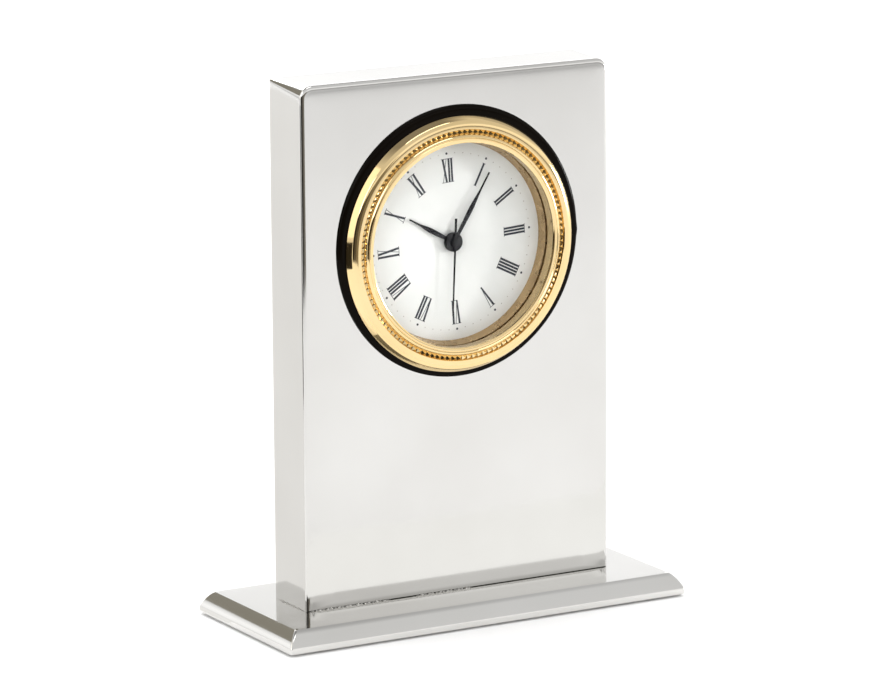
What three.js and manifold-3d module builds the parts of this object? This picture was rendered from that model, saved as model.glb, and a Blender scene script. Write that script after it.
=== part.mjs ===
// Quartz desk clock: a nickel-plated upright case on a bevelled base, with a round push-in clock
// insert whose gilt bezel, dial, hands, stepping motor, gear train and motion work are all separate
// pieces. Millimetres, +Z up, the dial faces -Y, and the origin is the middle of the felt's underside.
import * as THREE from "three";
import { mergeVertices } from "three/addons/utils/BufferGeometryUtils.js";
import Module from "manifold-3d";

const wasm = await Module();
wasm.setup();

// ---------- driving dimensions ----------
const SEAT = 0.02; // air between two pieces that rest on each other
const FIT = 0.1; // air around a piece that sits in a pocket
const RUN = 0.06; // radial air between a turning arbor and its bearing
const ringSegments = 48; // facets round the insert's large rings

const caseWidth = 97;
const caseDepth = 18.4;
const caseHeight = 146;
const cornerRadius = 3.6; // the case's two top corners
const wall = 2;
const floorThickness = 3;

const feltProud = 0.4;
const feltThickness = 1.2;
const feltMargin = 3.5; // from the base's edge to the felt's
const baseEdge = 1.6; // upright lower edge of the base
const baseBevelDrop = 4.4;
const baseBevelRun = 3.1;
const bevelSwell = [0.34, 0.4]; // where the bevel's curve is drawn to, as shares of its run and its drop
const baseLipX = 11.5; // flat ledge of the base beside the case
const baseLipY = 14.85; // flat ledge in front of the case and behind it

const baseBottom = feltProud;
const baseTop = baseBottom + baseEdge + baseBevelDrop;
const caseBottom = baseTop + SEAT;
const caseTop = baseTop + caseHeight;
const face = -caseDepth / 2; // the case's front face; depths below are measured back from it
const dialAxis = baseTop + 98.3;

const backPlateThickness = 1.2;
const backOpeningRadius = 27.2;
const insertHoleRadius = 31.4;
const bossSize = 6;
const bossSink = 0.8; // how far a boss runs into the walls behind it
const bossFront = 1; // depth at which a boss starts, inside the front wall

// Insert, as radius and depth behind the face.
const barrelRadius = 30.7;
const barrelBore = 29.4;
const flangeRadius = 38;
const flangeRise = 0.75; // the moulded flange sits this much high of the dial's axis
const flangeThickness = 1.05;
const bezelRadius = 35.8;
const coverFront = 15.65;
const coverBack = 16.85;
const dialFront = 3.4;
const dialBack = 3.8;
const dialTilt = THREE.MathUtils.degToRad(3.54); // the insert was pushed in turned a little to the left

// Movement layers, as depth behind the face.
const frontPlate = [3.9, 4.7];
const hourLayer = [5, 5.7];
const minuteLayer = [6.2, 6.9];
const centreLayer = [7.4, 8];
const thirdLayer = [8.5, 9];
const middlePlate = [9.35, 9.85];
const secondsLayer = [10.1, 10.6];
const fifthLayer = [11, 11.5];
const rearPlate = [12, 12.8];
const boardLayer = [13, 13.6];
const leafProud = 0.12; // a pinion's leaves stand this much past the wheel they drive

// Tooth counts, and modules in millimetres.
const rotorLeaves = 6;
const fifthTeeth = 30;
const fifthLeaves = 6;
const secondsTeeth = 36;
const secondsLeaves = 6;
const thirdTeeth = 45;
const thirdLeaves = 6;
const centreTeeth = 48;
const cannonLeaves = 10;
const minuteTeeth = 30;
const minuteLeaves = 8;
const hourTeeth = 32;
const settingLeaves = 15;
const trainModule = 0.25;
const motionModule = 0.3;
const fifthDistance = (trainModule * (fifthLeaves + secondsTeeth)) / 2;
const rotorDistance = fifthDistance + (trainModule * (rotorLeaves + fifthTeeth)) / 2;
const thirdDistance = (trainModule * (thirdLeaves + centreTeeth)) / 2;
const secondsModule = (2 * thirdDistance) / (secondsLeaves + thirdTeeth);
const minuteDistance = (motionModule * (cannonLeaves + minuteTeeth)) / 2;
const settingDistance = minuteDistance + (motionModule * (minuteTeeth + settingLeaves)) / 2;

// Directions of the arbors from the dial's centre, and their places, as x and z from that centre.
const fifthAngle = Math.PI;
const thirdAngle = Math.PI / 3;
const minuteAngle = -Math.PI / 3;
const along = (distance, angle) => [distance * Math.cos(angle), distance * Math.sin(angle)];
const centre = [0, 0];
const fifthAt = along(fifthDistance, fifthAngle);
const rotorAt = along(rotorDistance, fifthAngle);
const thirdAt = along(thirdDistance, thirdAngle);
const minuteAt = along(minuteDistance, minuteAngle);
const settingAt = along(settingDistance, minuteAngle);
const batteryAt = [13, 14];
const batteryRadius = 5.8;
const batteryDepth = [10, 15.4];
const batteryPocket = 6.6;
const doorRadius = 7;

// Arbor and pipe radii, from the middle outwards.
const secondsArbor = 0.45;
const cannonPipe = 0.95;
const hourPipeBore = cannonPipe + RUN;
const hourPipe = 1.6;
const pivotRadius = 0.3;
const stemRadius = 1;

// Hands: the time shown is six minutes past ten, as turns clockwise from the dial's own twelve.
const hourHandAngle = THREE.MathUtils.degToRad(302.5);
const minuteHandAngle = THREE.MathUtils.degToRad(35);
const secondHandAngle = THREE.MathUtils.degToRad(186);
const hourHandDepth = [2.72, 2.94];
const minuteHandDepth = [1.98, 2.2];
const secondHandDepth = [1.36, 1.52];
const handHub = 2.65;

// ---------- solids ----------
// A closed geometry as a manifold-3d solid, turned the right way out.
function solid(geometry) {
  const bare = geometry.index ? geometry.toNonIndexed() : geometry.clone();
  bare.deleteAttribute("normal");
  bare.deleteAttribute("uv");
  const merged = mergeVertices(bare, 1e-4);
  const corners = merged.index.array;
  const kept = [];
  for (let i = 0; i < corners.length; i += 3) {
    const [a, b, c] = [corners[i], corners[i + 1], corners[i + 2]];
    if (a !== b && b !== c && c !== a) kept.push(a, b, c);
  }
  const vertProperties = merged.attributes.position.array;
  const build = (list) =>
    new wasm.Manifold(
      new wasm.Mesh({ numProp: 3, vertProperties, triVerts: new Uint32Array(list) }),
    );
  const made = build(kept);
  return made.volume() < 0 ? build(kept.reverse()) : made;
}

const join = (...pieces) => pieces.reduce((whole, piece) => whole.add(piece));
const cut = (whole, ...pieces) => pieces.reduce((rest, piece) => rest.subtract(piece), whole);

// A box between two corners.
function box(x0, x1, y0, y1, z0, z1) {
  const geometry = new THREE.BoxGeometry(x1 - x0, y1 - y0, z1 - z0);
  return solid(geometry.translate((x0 + x1) / 2, (y0 + y1) / 2, (z0 + z1) / 2));
}

// A ring turned about the Y axis through (x, z), from the [radius, y] corners of its section.
function turned(points, at, segments) {
  const profile = [...points, points[0]].map(([radius, y]) => new THREE.Vector2(radius, y));
  return solid(new THREE.LatheGeometry(profile, segments).translate(at[0], 0, at[1]));
}

// A shape drawn in x and z, with thickness from y0 to y1.
function slab(shape, y0, y1, curveSegments = 6) {
  const geometry = new THREE.ExtrudeGeometry(shape, {
    depth: y1 - y0,
    bevelEnabled: false,
    curveSegments,
  });
  return solid(geometry.rotateX(Math.PI / 2).translate(0, y1, 0));
}

// A round bar along Y.
function bar(radius, y0, y1, at, segments = 12) {
  const geometry = new THREE.CylinderGeometry(radius, radius, y1 - y0, segments);
  return solid(geometry.translate(at[0], (y0 + y1) / 2, at[1]));
}

// A round bar along Z.
function post(radius, z0, z1, x, y, segments = 12) {
  const geometry = new THREE.CylinderGeometry(radius, radius, z1 - z0, segments);
  return solid(geometry.rotateX(Math.PI / 2).translate(x, y, (z0 + z1) / 2));
}

// ---------- nodes ----------
const clock = new THREE.Group();

// Names a solid, gives it its material, and hangs it in a group.
function node(name, made, material, parent = clock) {
  const { vertProperties, triVerts } = made.getMesh();
  const geometry = new THREE.BufferGeometry();
  geometry.setAttribute("position", new THREE.BufferAttribute(vertProperties, 3));
  geometry.setIndex(new THREE.BufferAttribute(triVerts, 1));
  geometry.computeVertexNormals();
  const [color, roughness, metalness] = material;
  const look = new THREE.MeshStandardMaterial({ color, roughness, metalness });
  const mesh = new THREE.Mesh(geometry, look);
  mesh.name = name;
  parent.add(mesh);
}

const nickel = [0xd9d7d2, 0.22, 1];
const gilt = [0xe3b65c, 0.15, 1];
const steel = [0x9b9da0, 0.35, 1];
const brass = [0xc29a4a, 0.35, 1];
const copper = [0xa8522a, 0.4, 1];
const blackPlastic = [0x111010, 0.25, 0];
const blackMetal = [0x141416, 0.3, 0.2];
const whitePlastic = [0xe8e6df, 0.5, 0];
const amberPlastic = [0xb98a45, 0.5, 0];
const greenBoard = [0x1f5a35, 0.5, 0];
const rubber = [0x1c1c1c, 0.9, 0];
const feltLook = [0x23302a, 1, 0];
const glass = [0xf4f8f8, 0.02, 0];
const dialLook = [0xf3f2ee, 0.5, 0];

// ---------- case and base ----------
function caseOutline(inset, bottom) {
  const half = caseWidth / 2 - inset;
  const top = caseTop - inset;
  const radius = Math.max(cornerRadius - inset, 0.8);
  const shape = new THREE.Shape();
  shape.moveTo(-half, bottom);
  shape.lineTo(half, bottom);
  shape.lineTo(half, top - radius);
  shape.absarc(half - radius, top - radius, radius, 0, Math.PI / 2);
  shape.lineTo(-half + radius, top);
  shape.absarc(-half + radius, top - radius, radius, Math.PI / 2, Math.PI);
  return shape;
}

const backPlateFront = caseDepth / 2 - backPlateThickness;
const screwX = caseWidth / 2 - wall - bossSize / 2;
const screwZ = [caseBottom + floorThickness + bossSize / 2, caseTop - wall - bossSize / 2];
const screwPlaces = [
  [-screwX, screwZ[0]],
  [screwX, screwZ[0]],
  [-screwX, screwZ[1]],
  [screwX, screwZ[1]],
];
const backScrewHole = 1.2;
const backScrewHead = [2.1, 1.1]; // radius and height
const backScrewLength = 6;
const baseScrewX = 30;
const baseScrewHole = 1.6;
const baseScrewTip = caseBottom + floorThickness + 0.8;
const crossSlot = [3.6, 0.8, 0.88]; // length, width and depth of each slot in a base screw's head

const feltHalfX = caseWidth / 2 + baseLipX + baseBevelRun - feltMargin;
const feltHalfY = caseDepth / 2 + baseLipY + baseBevelRun - feltMargin;
const feltTop = feltThickness;
const screwHeadRadius = 3;
const screwHeadTop = feltTop + 2.2;

function caseShell() {
  const outer = slab(caseOutline(0, caseBottom), face, caseDepth / 2);
  const hollow = slab(
    caseOutline(wall, caseBottom + floorThickness),
    face + wall,
    caseDepth,
  );
  const bossReach = bossSize + 1;
  const bosses = screwPlaces.map(([x, z]) => {
    const [xWay, zWay] = [Math.sign(x), z > dialAxis ? 1 : -1];
    const [xOut, zOut] = [x + (xWay * bossSize) / 2, z + (zWay * bossSize) / 2];
    const [xIn, zIn] = [xOut - xWay * bossReach, zOut - zWay * bossReach];
    const [xBack, zBack] = [xOut + xWay * bossSink, zOut + zWay * bossSink];
    return box(
      Math.min(xIn, xBack),
      Math.max(xIn, xBack),
      face + bossFront,
      backPlateFront - SEAT,
      Math.min(zIn, zBack),
      Math.max(zIn, zBack),
    );
  });
  const pilots = screwPlaces.map((at) => bar(backScrewHole, 0, caseDepth, at));
  const stand = caseBottom + floorThickness;
  const socket = (x) => post(baseScrewHole, caseBottom - 1, stand + 1, x, 0);
  return cut(
    join(cut(outer, hollow), ...bosses),
    bar(insertHoleRadius, face - 1, face + wall + 1, [0, dialAxis], ringSegments),
    ...pilots,
    socket(-baseScrewX),
    socket(baseScrewX),
  );
}

function basePlate() {
  const flatX = caseWidth / 2 + baseLipX;
  const flatY = caseDepth / 2 + baseLipY;
  // Whole section across one way: the bevel is nearly flat, with a slight swell.
  const section = (flat) => {
    const shape = new THREE.Shape();
    const edge = flat + baseBevelRun;
    shape.moveTo(-edge, baseBottom);
    shape.lineTo(edge, baseBottom);
    shape.lineTo(edge, baseBottom + baseEdge);
    shape.quadraticCurveTo(
      edge - baseBevelRun * bevelSwell[0],
      baseTop - baseBevelDrop * bevelSwell[1],
      flat,
      baseTop,
    );
    shape.lineTo(-flat, baseTop);
    shape.quadraticCurveTo(
      -edge + baseBevelRun * bevelSwell[0],
      baseTop - baseBevelDrop * bevelSwell[1],
      -edge,
      baseBottom + baseEdge,
    );
    return shape;
  };
  const reach = 100;
  const lengthwise = slab(section(flatX), -reach, reach, 6);
  const crosswise = new THREE.ExtrudeGeometry(section(flatY), {
    depth: 2 * reach,
    bevelEnabled: false,
    curveSegments: 6,
  });
  crosswise.rotateX(Math.PI / 2).translate(0, reach, 0).rotateZ(Math.PI / 2);
  const plate = lengthwise.intersect(solid(crosswise));
  const feltPocket = box(
    -feltHalfX - FIT,
    feltHalfX + FIT,
    -feltHalfY - FIT,
    feltHalfY + FIT,
    baseBottom - 1,
    feltTop,
  );
  const screwWay = (x) =>
    join(
      post(baseScrewHole, baseBottom, baseTop + 1, x, 0),
      post(screwHeadRadius + FIT, baseBottom, screwHeadTop, x, 0, 16),
    );
  return cut(plate, feltPocket, screwWay(-baseScrewX), screwWay(baseScrewX));
}

// A pan-head screw standing on its head below the base, with a cross slot in it.
function baseScrew(x) {
  const head = post(screwHeadRadius, feltTop + FIT, screwHeadTop - SEAT, x, 0, 16);
  const shank = post(baseScrewHole - FIT, screwHeadTop - 1, baseScrewTip, x, 0);
  const [length, width, depth] = crossSlot;
  const slotTop = feltTop + FIT + depth;
  const slotA = box(x - length / 2, x + length / 2, -width / 2, width / 2, feltTop, slotTop);
  const slotB = box(x - width / 2, x + width / 2, -length / 2, length / 2, feltTop, slotTop);
  return cut(join(head, shank), slotA, slotB);
}

function backPlate() {
  const inset = wall + FIT;
  const plate = slab(
    caseOutline(inset, caseBottom + floorThickness + FIT),
    backPlateFront,
    caseDepth / 2 - SEAT,
  );
  const opening = bar(backOpeningRadius, 0, caseDepth, [0, dialAxis], ringSegments);
  const holes = screwPlaces.map((at) => bar(backScrewHole + FIT, 0, caseDepth, at));
  return cut(plate, opening, ...holes);
}

function backPlateScrew([x, z]) {
  const back = caseDepth / 2;
  const [radius, height] = backScrewHead;
  const head = bar(radius, back, back + height, [x, z], 16);
  const shank = bar(backScrewHole - FIT, back - backScrewLength, back + 0.2, [x, z]);
  const slotFloor = back + height - 0.5;
  const slot = box(x - radius - 1, x + radius + 1, slotFloor, back + 2, z - 0.3, z + 0.3);
  return cut(join(head, shank), slot);
}

node("case_shell", caseShell(), nickel);
node("base_plate", basePlate(), nickel);
node(
  "base_felt",
  box(-feltHalfX, feltHalfX, -feltHalfY, feltHalfY, 0, feltTop - SEAT),
  feltLook,
);
node("base_screw_left", baseScrew(-baseScrewX), steel);
node("base_screw_right", baseScrew(baseScrewX), steel);
node("back_plate", backPlate(), nickel);
screwPlaces.forEach((at, i) => node("back_plate_screw_" + (i + 1), backPlateScrew(at), steel));

// ---------- insert: everything below is placed from the dial's centre and the case's front face ----
const insert = new THREE.Group();
insert.position.set(0, face, dialAxis);
insert.rotation.y = -dialTilt;
clock.add(insert);
const insertNode = (name, made, material) => node(name, made, material, insert);

// The flange is centred in the front hole and stands a little high of the dial, whatever the tilt.
const flangeAt = [
  flangeRise * Math.sin(dialTilt),
  flangeRise * Math.cos(dialTilt),
];

function insertCase() {
  const flange = turned(
    [
      [barrelBore, -flangeThickness],
      [flangeRadius - 0.35, -flangeThickness],
      [flangeRadius, -flangeThickness + 0.4],
      [flangeRadius, -SEAT],
      [barrelBore, -SEAT],
    ],
    flangeAt,
    ringSegments,
  );
  const barrel = turned(
    [
      [barrelBore + 0.3, -flangeThickness],
      [barrelRadius, -flangeThickness],
      [barrelRadius, coverFront - SEAT],
      [barrelBore, coverFront - SEAT],
      [barrelBore, -flangeThickness + 0.3],
    ],
    centre,
    ringSegments,
  );
  const bore = bar(barrelBore, -flangeThickness - 1, coverFront + 1, centre, ringSegments);
  return cut(join(flange, barrel), bore);
}

insertNode("insert_case", insertCase(), blackPlastic);
insertNode(
  "insert_grip_ring",
  turned(
    [
      [barrelRadius + FIT / 2, 0.15],
      [insertHoleRadius - 0.14, 0.15],
      [insertHoleRadius - 0.14, 1.85],
      [barrelRadius + FIT / 2, 1.85],
    ],
    centre,
    ringSegments,
  ),
  rubber,
);
insertNode(
  "bezel",
  turned(
    [
      [bezelRadius, -flangeThickness - SEAT],
      [34.7, -3.55],
      [33.2, -3.5],
      [32.15, -2.75],
      [31.55, -3.2],
      [30.95, -2.75],
      [30.4, -4],
      [28.5, -3.75],
      [28.5, -0.35],
      [29.2, -0.35],
      [29.2, -flangeThickness - SEAT],
    ],
    centre,
    ringSegments,
  ),
  gilt,
);
insertNode("lens", bar(29.25, -0.33, 0.67, centre, ringSegments), glass);
insertNode(
  "reflector_ring",
  turned(
    [
      [29.2, 0.7],
      [28.5, 0.7],
      [27.6, dialFront - SEAT],
      [29.2, dialFront - SEAT],
    ],
    centre,
    ringSegments,
  ),
  gilt,
);
insertNode(
  "dial",
  turned(
    [
      [hourPipe + 0.3, dialFront],
      [29.2, dialFront],
      [29.2, dialBack],
      [hourPipe + 0.3, dialBack],
    ],
    centre,
    ringSegments,
  ),
  dialLook,
);

function insertCover() {
  const cover = bar(barrelRadius, coverFront, coverBack, centre, ringSegments);
  const stemHole = bar(stemRadius + RUN, coverFront - 1, coverBack + 1, settingAt);
  const doorHole = bar(doorRadius + RUN, coverFront - 1, coverBack + 1, batteryAt, 28);
  return cut(cover, stemHole, doorHole);
}
insertNode("insert_cover", insertCover(), blackPlastic);

function batteryDoor() {
  const [x, z] = batteryAt;
  const door = bar(doorRadius, coverFront + FIT, coverBack, batteryAt, 28);
  return cut(door, box(x - 4.5, x + 4.5, coverBack - 0.6, coverBack + 1, z - 0.6, z + 0.6));
}
insertNode("battery_door", batteryDoor(), blackPlastic);

// ---------- movement ----------
const plateRadius = 29.2;
const pillarTall = [
  [17.5, -12],
  [-15.5, -15.5],
  [-12, 17],
];
const pillarShort = [
  [-4.5, 9.5],
  [9.5, -3.5],
  [-6.2, -8.4],
];
const pillarRadius = 1.3;
const pillarPilot = 0.55;
const minuteStud = 0.5;
const bushRadius = 2.6;

function movementFrontPlate() {
  const plate = bar(plateRadius, ...frontPlate, centre, ringSegments);
  const tall = pillarTall.map((at) => bar(pillarRadius, 4.2, rearPlate[0] - SEAT, at));
  const short = pillarShort.map((at) => bar(pillarRadius, 4.2, middlePlate[0] - SEAT, at));
  const stud = bar(minuteStud, 4.2, minuteLayer[1] + 0.3, minuteAt);
  const tallPilots = pillarTall.map((at) => bar(pillarPilot, 8, rearPlate[0] + 1, at, 8));
  const shortPilots = pillarShort.map((at) => bar(pillarPilot, 6, middlePlate[0] + 1, at, 8));
  const bearings = [thirdAt, rotorAt].map((at) => bar(pivotRadius + RUN, 4.2, 6, at));
  const stemBearing = bar(stemRadius - 0.3 + RUN, 4.2, 6, settingAt);
  return cut(
    join(plate, ...tall, ...short, stud),
    bar(bushRadius + SEAT, 3, 6, centre, 32),
    ...tallPilots,
    ...shortPilots,
    ...bearings,
    stemBearing,
  );
}

function plateHull(points, radius, layer) {
  // A three-cornered plate with round corners: the outline passes around each corner in turn.
  const middle = new THREE.Vector2();
  const corners = points.map(([x, z]) => new THREE.Vector2(x, z));
  corners.sort((a, b) => a.angle() - b.angle());
  const shape = new THREE.Shape();
  corners.forEach((corner, i) => {
    const before = corners[(i + corners.length - 1) % corners.length];
    const after = corners[(i + 1) % corners.length];
    const start = Math.atan2(corner.y - before.y, corner.x - before.x) - Math.PI / 2;
    let end = Math.atan2(after.y - corner.y, after.x - corner.x) - Math.PI / 2;
    if (end < start) end += 2 * Math.PI;
    middle.set(corner.x + radius * Math.cos(start), corner.y + radius * Math.sin(start));
    if (i === 0) shape.moveTo(middle.x, middle.y);
    else shape.lineTo(middle.x, middle.y);
    shape.absarc(corner.x, corner.y, radius, start, end);
  });
  return slab(shape, ...layer, 8);
}

function movementMiddlePlate() {
  return cut(
    plateHull(pillarShort, 1.8, middlePlate),
    bar(secondsArbor + RUN, 9, 10, centre),
    bar(pivotRadius + RUN, 9, 10, fifthAt),
    bar(pivotRadius + RUN, 9, 10, thirdAt),
    ...pillarShort.map((at) => bar(pillarPilot + FIT, 9, 10, at, 8)),
  );
}

function movementRearPlate() {
  return cut(
    bar(plateRadius, ...rearPlate, centre, ringSegments),
    bar(batteryPocket, 11, 14, batteryAt, 28),
    bar(stemRadius + RUN, 11, 14, settingAt),
    ...[centre, fifthAt, rotorAt].map((at) => bar(pivotRadius + RUN, 11, 14, at)),
    ...pillarTall.map((at) => bar(pillarPilot + FIT, 11, 14, at, 8)),
  );
}

// A small slotted screw along Y, its head standing on the plate behind `under`.
function plateScrew([x, z], under, reach) {
  const head = bar(1.1, under + SEAT, under + 0.6, [x, z]);
  const shank = bar(pillarPilot - FIT, under - reach, under + 0.3, [x, z], 8);
  return cut(join(head, shank), box(x - 2, x + 2, under + 0.35, under + 1, z - 0.15, z + 0.15));
}

insertNode("movement_front_plate", movementFrontPlate(), whitePlastic);
insertNode(
  "centre_bush",
  turned(
    [
      [hourPipe + RUN, frontPlate[0]],
      [bushRadius, frontPlate[0]],
      [bushRadius, frontPlate[1]],
      [hourPipe + RUN, frontPlate[1]],
    ],
    centre,
    32,
  ),
  brass,
);
insertNode("movement_middle_plate", movementMiddlePlate(), brass);
insertNode("movement_rear_plate", movementRearPlate(), whitePlastic);
pillarShort.forEach((at, i) =>
  insertNode("middle_plate_screw_" + (i + 1), plateScrew(at, middlePlate[1], 2), steel),
);
pillarTall.forEach((at, i) =>
  insertNode("rear_plate_screw_" + (i + 1), plateScrew(at, rearPlate[1], 3), steel),
);

// Stepping motor: the stator's two arms join the ends of the coil's core.
const coilX = -19;
const coilDepth = 8.65;
const coreHalf = [1.2, 0.6, 10.6];
const bobbinHalf = [1.7, 1.1, 7.2];
const bobbinFlange = 0.6;
const statorLayer = [7.4, coilDepth - coreHalf[1] - SEAT];

function stator() {
  const upperArm = [
    [-6.7, 0],
    [-6.7, 1.8],
    [-9, 3.6],
    [-16.5, 11],
    [-21, 11],
    [-21, 7.6],
    [-17, 7.6],
    [-12.5, 2.6],
  ];
  const lowerArm = upperArm.slice(1).reverse().map(([x, z]) => [x, -z]);
  const outline = [...upperArm, ...lowerArm].map(([x, z]) => new THREE.Vector2(x, z));
  return cut(slab(new THREE.Shape(outline), ...statorLayer), bar(2.15, 7, 9, rotorAt, 20));
}

function aroundCoil([x, y, z], shift = 0) {
  return box(coilX - x, coilX + x, coilDepth - y, coilDepth + y, shift - z, shift + z);
}

function coilBobbin() {
  const tube = aroundCoil(bobbinHalf);
  const flangeHalf = [2.1, 1.95, bobbinFlange / 2];
  const flangeShift = bobbinHalf[2] - flangeHalf[2];
  const way = aroundCoil([coreHalf[0] + FIT, coreHalf[1] + FIT, 12]);
  return cut(
    join(tube, aroundCoil(flangeHalf, flangeShift), aroundCoil(flangeHalf, -flangeShift)),
    way,
  );
}

function coilWinding() {
  const length = bobbinHalf[2] - bobbinFlange - FIT;
  return cut(
    aroundCoil([2, 1.85, length]),
    aroundCoil([bobbinHalf[0] + SEAT, bobbinHalf[1] + SEAT, length + 1]),
  );
}

insertNode("stator", stator(), steel);
insertNode("coil_core", aroundCoil(coreHalf), steel);
insertNode("coil_bobbin", coilBobbin(), amberPlastic);
insertNode("coil_winding", coilWinding(), copper);

// Circuit board behind the rear plate, with its chip and its quartz crystal's can.
const boardX = [-25, -9];
const boardZ = [-11, 11];
insertNode("circuit_board", box(...boardX, ...boardLayer, ...boardZ), greenBoard);
insertNode("circuit_chip", box(-19, -14, boardLayer[1] + SEAT, 14.6, 1, 6), blackPlastic);
insertNode("quartz_crystal", post(1, -8, -2, -16, boardLayer[1] + 1.05), steel);

// Button cell in its pocket, and the strips that touch its front and its side.
const [batteryX, batteryZ] = batteryAt;
const strip = 0.25;
insertNode("battery", bar(batteryRadius, ...batteryDepth, batteryAt, 28), steel);
insertNode(
  "battery_contact_negative",
  join(
    box(batteryX - 1.5, batteryX + 1.5, 9.6, 9.6 + strip, batteryZ - 3, batteryZ + 8),
    box(batteryX - 1.5, batteryX + 1.5, 9.6, 11.6, batteryZ + 8 - strip, batteryZ + 8),
  ),
  brass,
);
const sideContact = batteryX + batteryRadius + 0.1;
insertNode(
  "battery_contact_positive",
  join(
    box(sideContact, sideContact + strip, 9.6, 14.8, batteryZ - 1.5, batteryZ + 1.5),
    box(sideContact, sideContact + 3, 9.6, 9.6 + strip, batteryZ - 1.5, batteryZ + 1.5),
  ),
  brass,
);

// ---------- gears ----------
// A toothed outline with a tooth centred on `phase`: four points a tooth, slim enough to leave backlash.
function gearShape(teeth, module, at, phase) {
  const pitchRadius = (teeth * module) / 2;
  const root = pitchRadius - 1.15 * module;
  const tip = pitchRadius + 0.8 * module;
  const pitch = (2 * Math.PI) / teeth;
  const points = [];
  for (let i = 0; i < teeth; i++) {
    const middle = phase + i * pitch;
    for (const [radius, share] of [
      [root, -0.25],
      [tip, -0.09],
      [tip, 0.09],
      [root, 0.25],
    ]) {
      const angle = middle + share * pitch;
      points.push(
        new THREE.Vector2(at[0] + radius * Math.cos(angle), at[1] + radius * Math.sin(angle)),
      );
    }
  }
  return new THREE.Shape(points);
}

const gear = (teeth, module, at, phase, layer) =>
  slab(gearShape(teeth, module, at, phase), ...layer);
const leafLayer = ([y0, y1]) => [y0 - leafProud, y1 + leafProud];

// The phase that puts a gear in mesh with another whose tooth phase is known. `way` is the
// direction from the known gear's centre to the new one's.
function meshPhase(knownTeeth, knownPhase, newTeeth, way) {
  return way + Math.PI - (Math.PI - knownTeeth * (way - knownPhase)) / newTeeth;
}

const wayBack = (angle) => angle + Math.PI;

// Rotor: pinion and arbor moulded round a ring magnet, stepping half a turn each second.
const magnetRadius = 1.8;
const rotorHub = 0.9;
const rotorPhase = wayBack(fifthAngle);
insertNode(
  "rotor",
  join(
    gear(rotorLeaves, trainModule, rotorAt, rotorPhase, leafLayer(fifthLayer)),
    bar(0.4, 6, fifthLayer[1], rotorAt, 10),
    bar(rotorHub, 6.2, 8.9, rotorAt),
    bar(pivotRadius, frontPlate[1] - 0.4, rearPlate[1] - 0.3, rotorAt, 10),
  ),
  whitePlastic,
);
insertNode(
  "rotor_magnet",
  turned(
    [
      [rotorHub + SEAT, 6.9],
      [magnetRadius, 6.9],
      [magnetRadius, 8.5],
      [rotorHub + SEAT, 8.5],
    ],
    rotorAt,
    24,
  ),
  steel,
);

// A wheel with its own pinion and pivots, moulded in one.
function wheelAndPinion({ at, wheel, pinion, pivots }) {
  return join(
    gear(wheel.teeth, wheel.module, at, wheel.phase, wheel.layer),
    gear(pinion.teeth, pinion.module, at, pinion.phase, pinion.layer),
    bar(pivotRadius, ...pivots, at, 8),
  );
}

const fifthWheelPhase = meshPhase(rotorLeaves, rotorPhase, fifthTeeth, wayBack(fifthAngle));
insertNode(
  "fifth_wheel",
  wheelAndPinion({
    at: fifthAt,
    wheel: { teeth: fifthTeeth, module: trainModule, phase: fifthWheelPhase, layer: fifthLayer },
    pinion: {
      teeth: fifthLeaves,
      module: trainModule,
      phase: wayBack(fifthAngle),
      layer: [secondsLayer[0] - leafProud, fifthLayer[0] + 0.1],
    },
    pivots: [middlePlate[0] + 0.1, rearPlate[1] - 0.3],
  }),
  whitePlastic,
);

const secondsPhase = meshPhase(fifthLeaves, wayBack(fifthAngle), secondsTeeth, wayBack(fifthAngle));
insertNode(
  "seconds_wheel",
  join(
    gear(secondsTeeth, trainModule, centre, secondsPhase, secondsLayer),
    gear(secondsLeaves, secondsModule, centre, thirdAngle, leafLayer(thirdLayer)),
    bar(secondsArbor, 1.1, secondsLayer[1] + 0.6, centre, 16),
    bar(pivotRadius, secondsLayer[1], rearPlate[1] - 0.3, centre, 16),
  ),
  steel,
);

const thirdPhase = meshPhase(secondsLeaves, thirdAngle, thirdTeeth, thirdAngle);
insertNode(
  "third_wheel",
  wheelAndPinion({
    at: thirdAt,
    wheel: { teeth: thirdTeeth, module: secondsModule, phase: thirdPhase, layer: thirdLayer },
    pinion: {
      teeth: thirdLeaves,
      module: trainModule,
      phase: wayBack(thirdAngle),
      layer: [centreLayer[0] - leafProud, thirdLayer[0] + 0.1],
    },
    pivots: [frontPlate[1] - 0.4, middlePlate[1] - 0.1],
  }),
  whitePlastic,
);

// The cannon pinion carries the minute hand and grips the centre wheel by friction.
const centrePhase = meshPhase(thirdLeaves, wayBack(thirdAngle), centreTeeth, wayBack(thirdAngle));
insertNode(
  "centre_wheel",
  cut(
    gear(centreTeeth, trainModule, centre, centrePhase, centreLayer),
    bar(cannonPipe + SEAT, 7, 9, centre, 16),
  ),
  brass,
);
insertNode(
  "cannon_pinion",
  cut(
    join(
      gear(cannonLeaves, motionModule, centre, minuteAngle, leafLayer(minuteLayer)),
      bar(cannonPipe, 1.9, centreLayer[1] + 0.2, centre, 16),
    ),
    bar(secondsArbor + RUN, 1, 9, centre, 16),
  ),
  brass,
);

const minutePhase = meshPhase(cannonLeaves, minuteAngle, minuteTeeth, minuteAngle);
insertNode(
  "minute_wheel",
  cut(
    join(
      gear(minuteTeeth, motionModule, minuteAt, minutePhase, minuteLayer),
      gear(minuteLeaves, motionModule, minuteAt, wayBack(minuteAngle), [
        hourLayer[0] - leafProud,
        minuteLayer[0] + 0.1,
      ]),
    ),
    bar(minuteStud + RUN, 4, 8, minuteAt, 20),
  ),
  whitePlastic,
);

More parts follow.
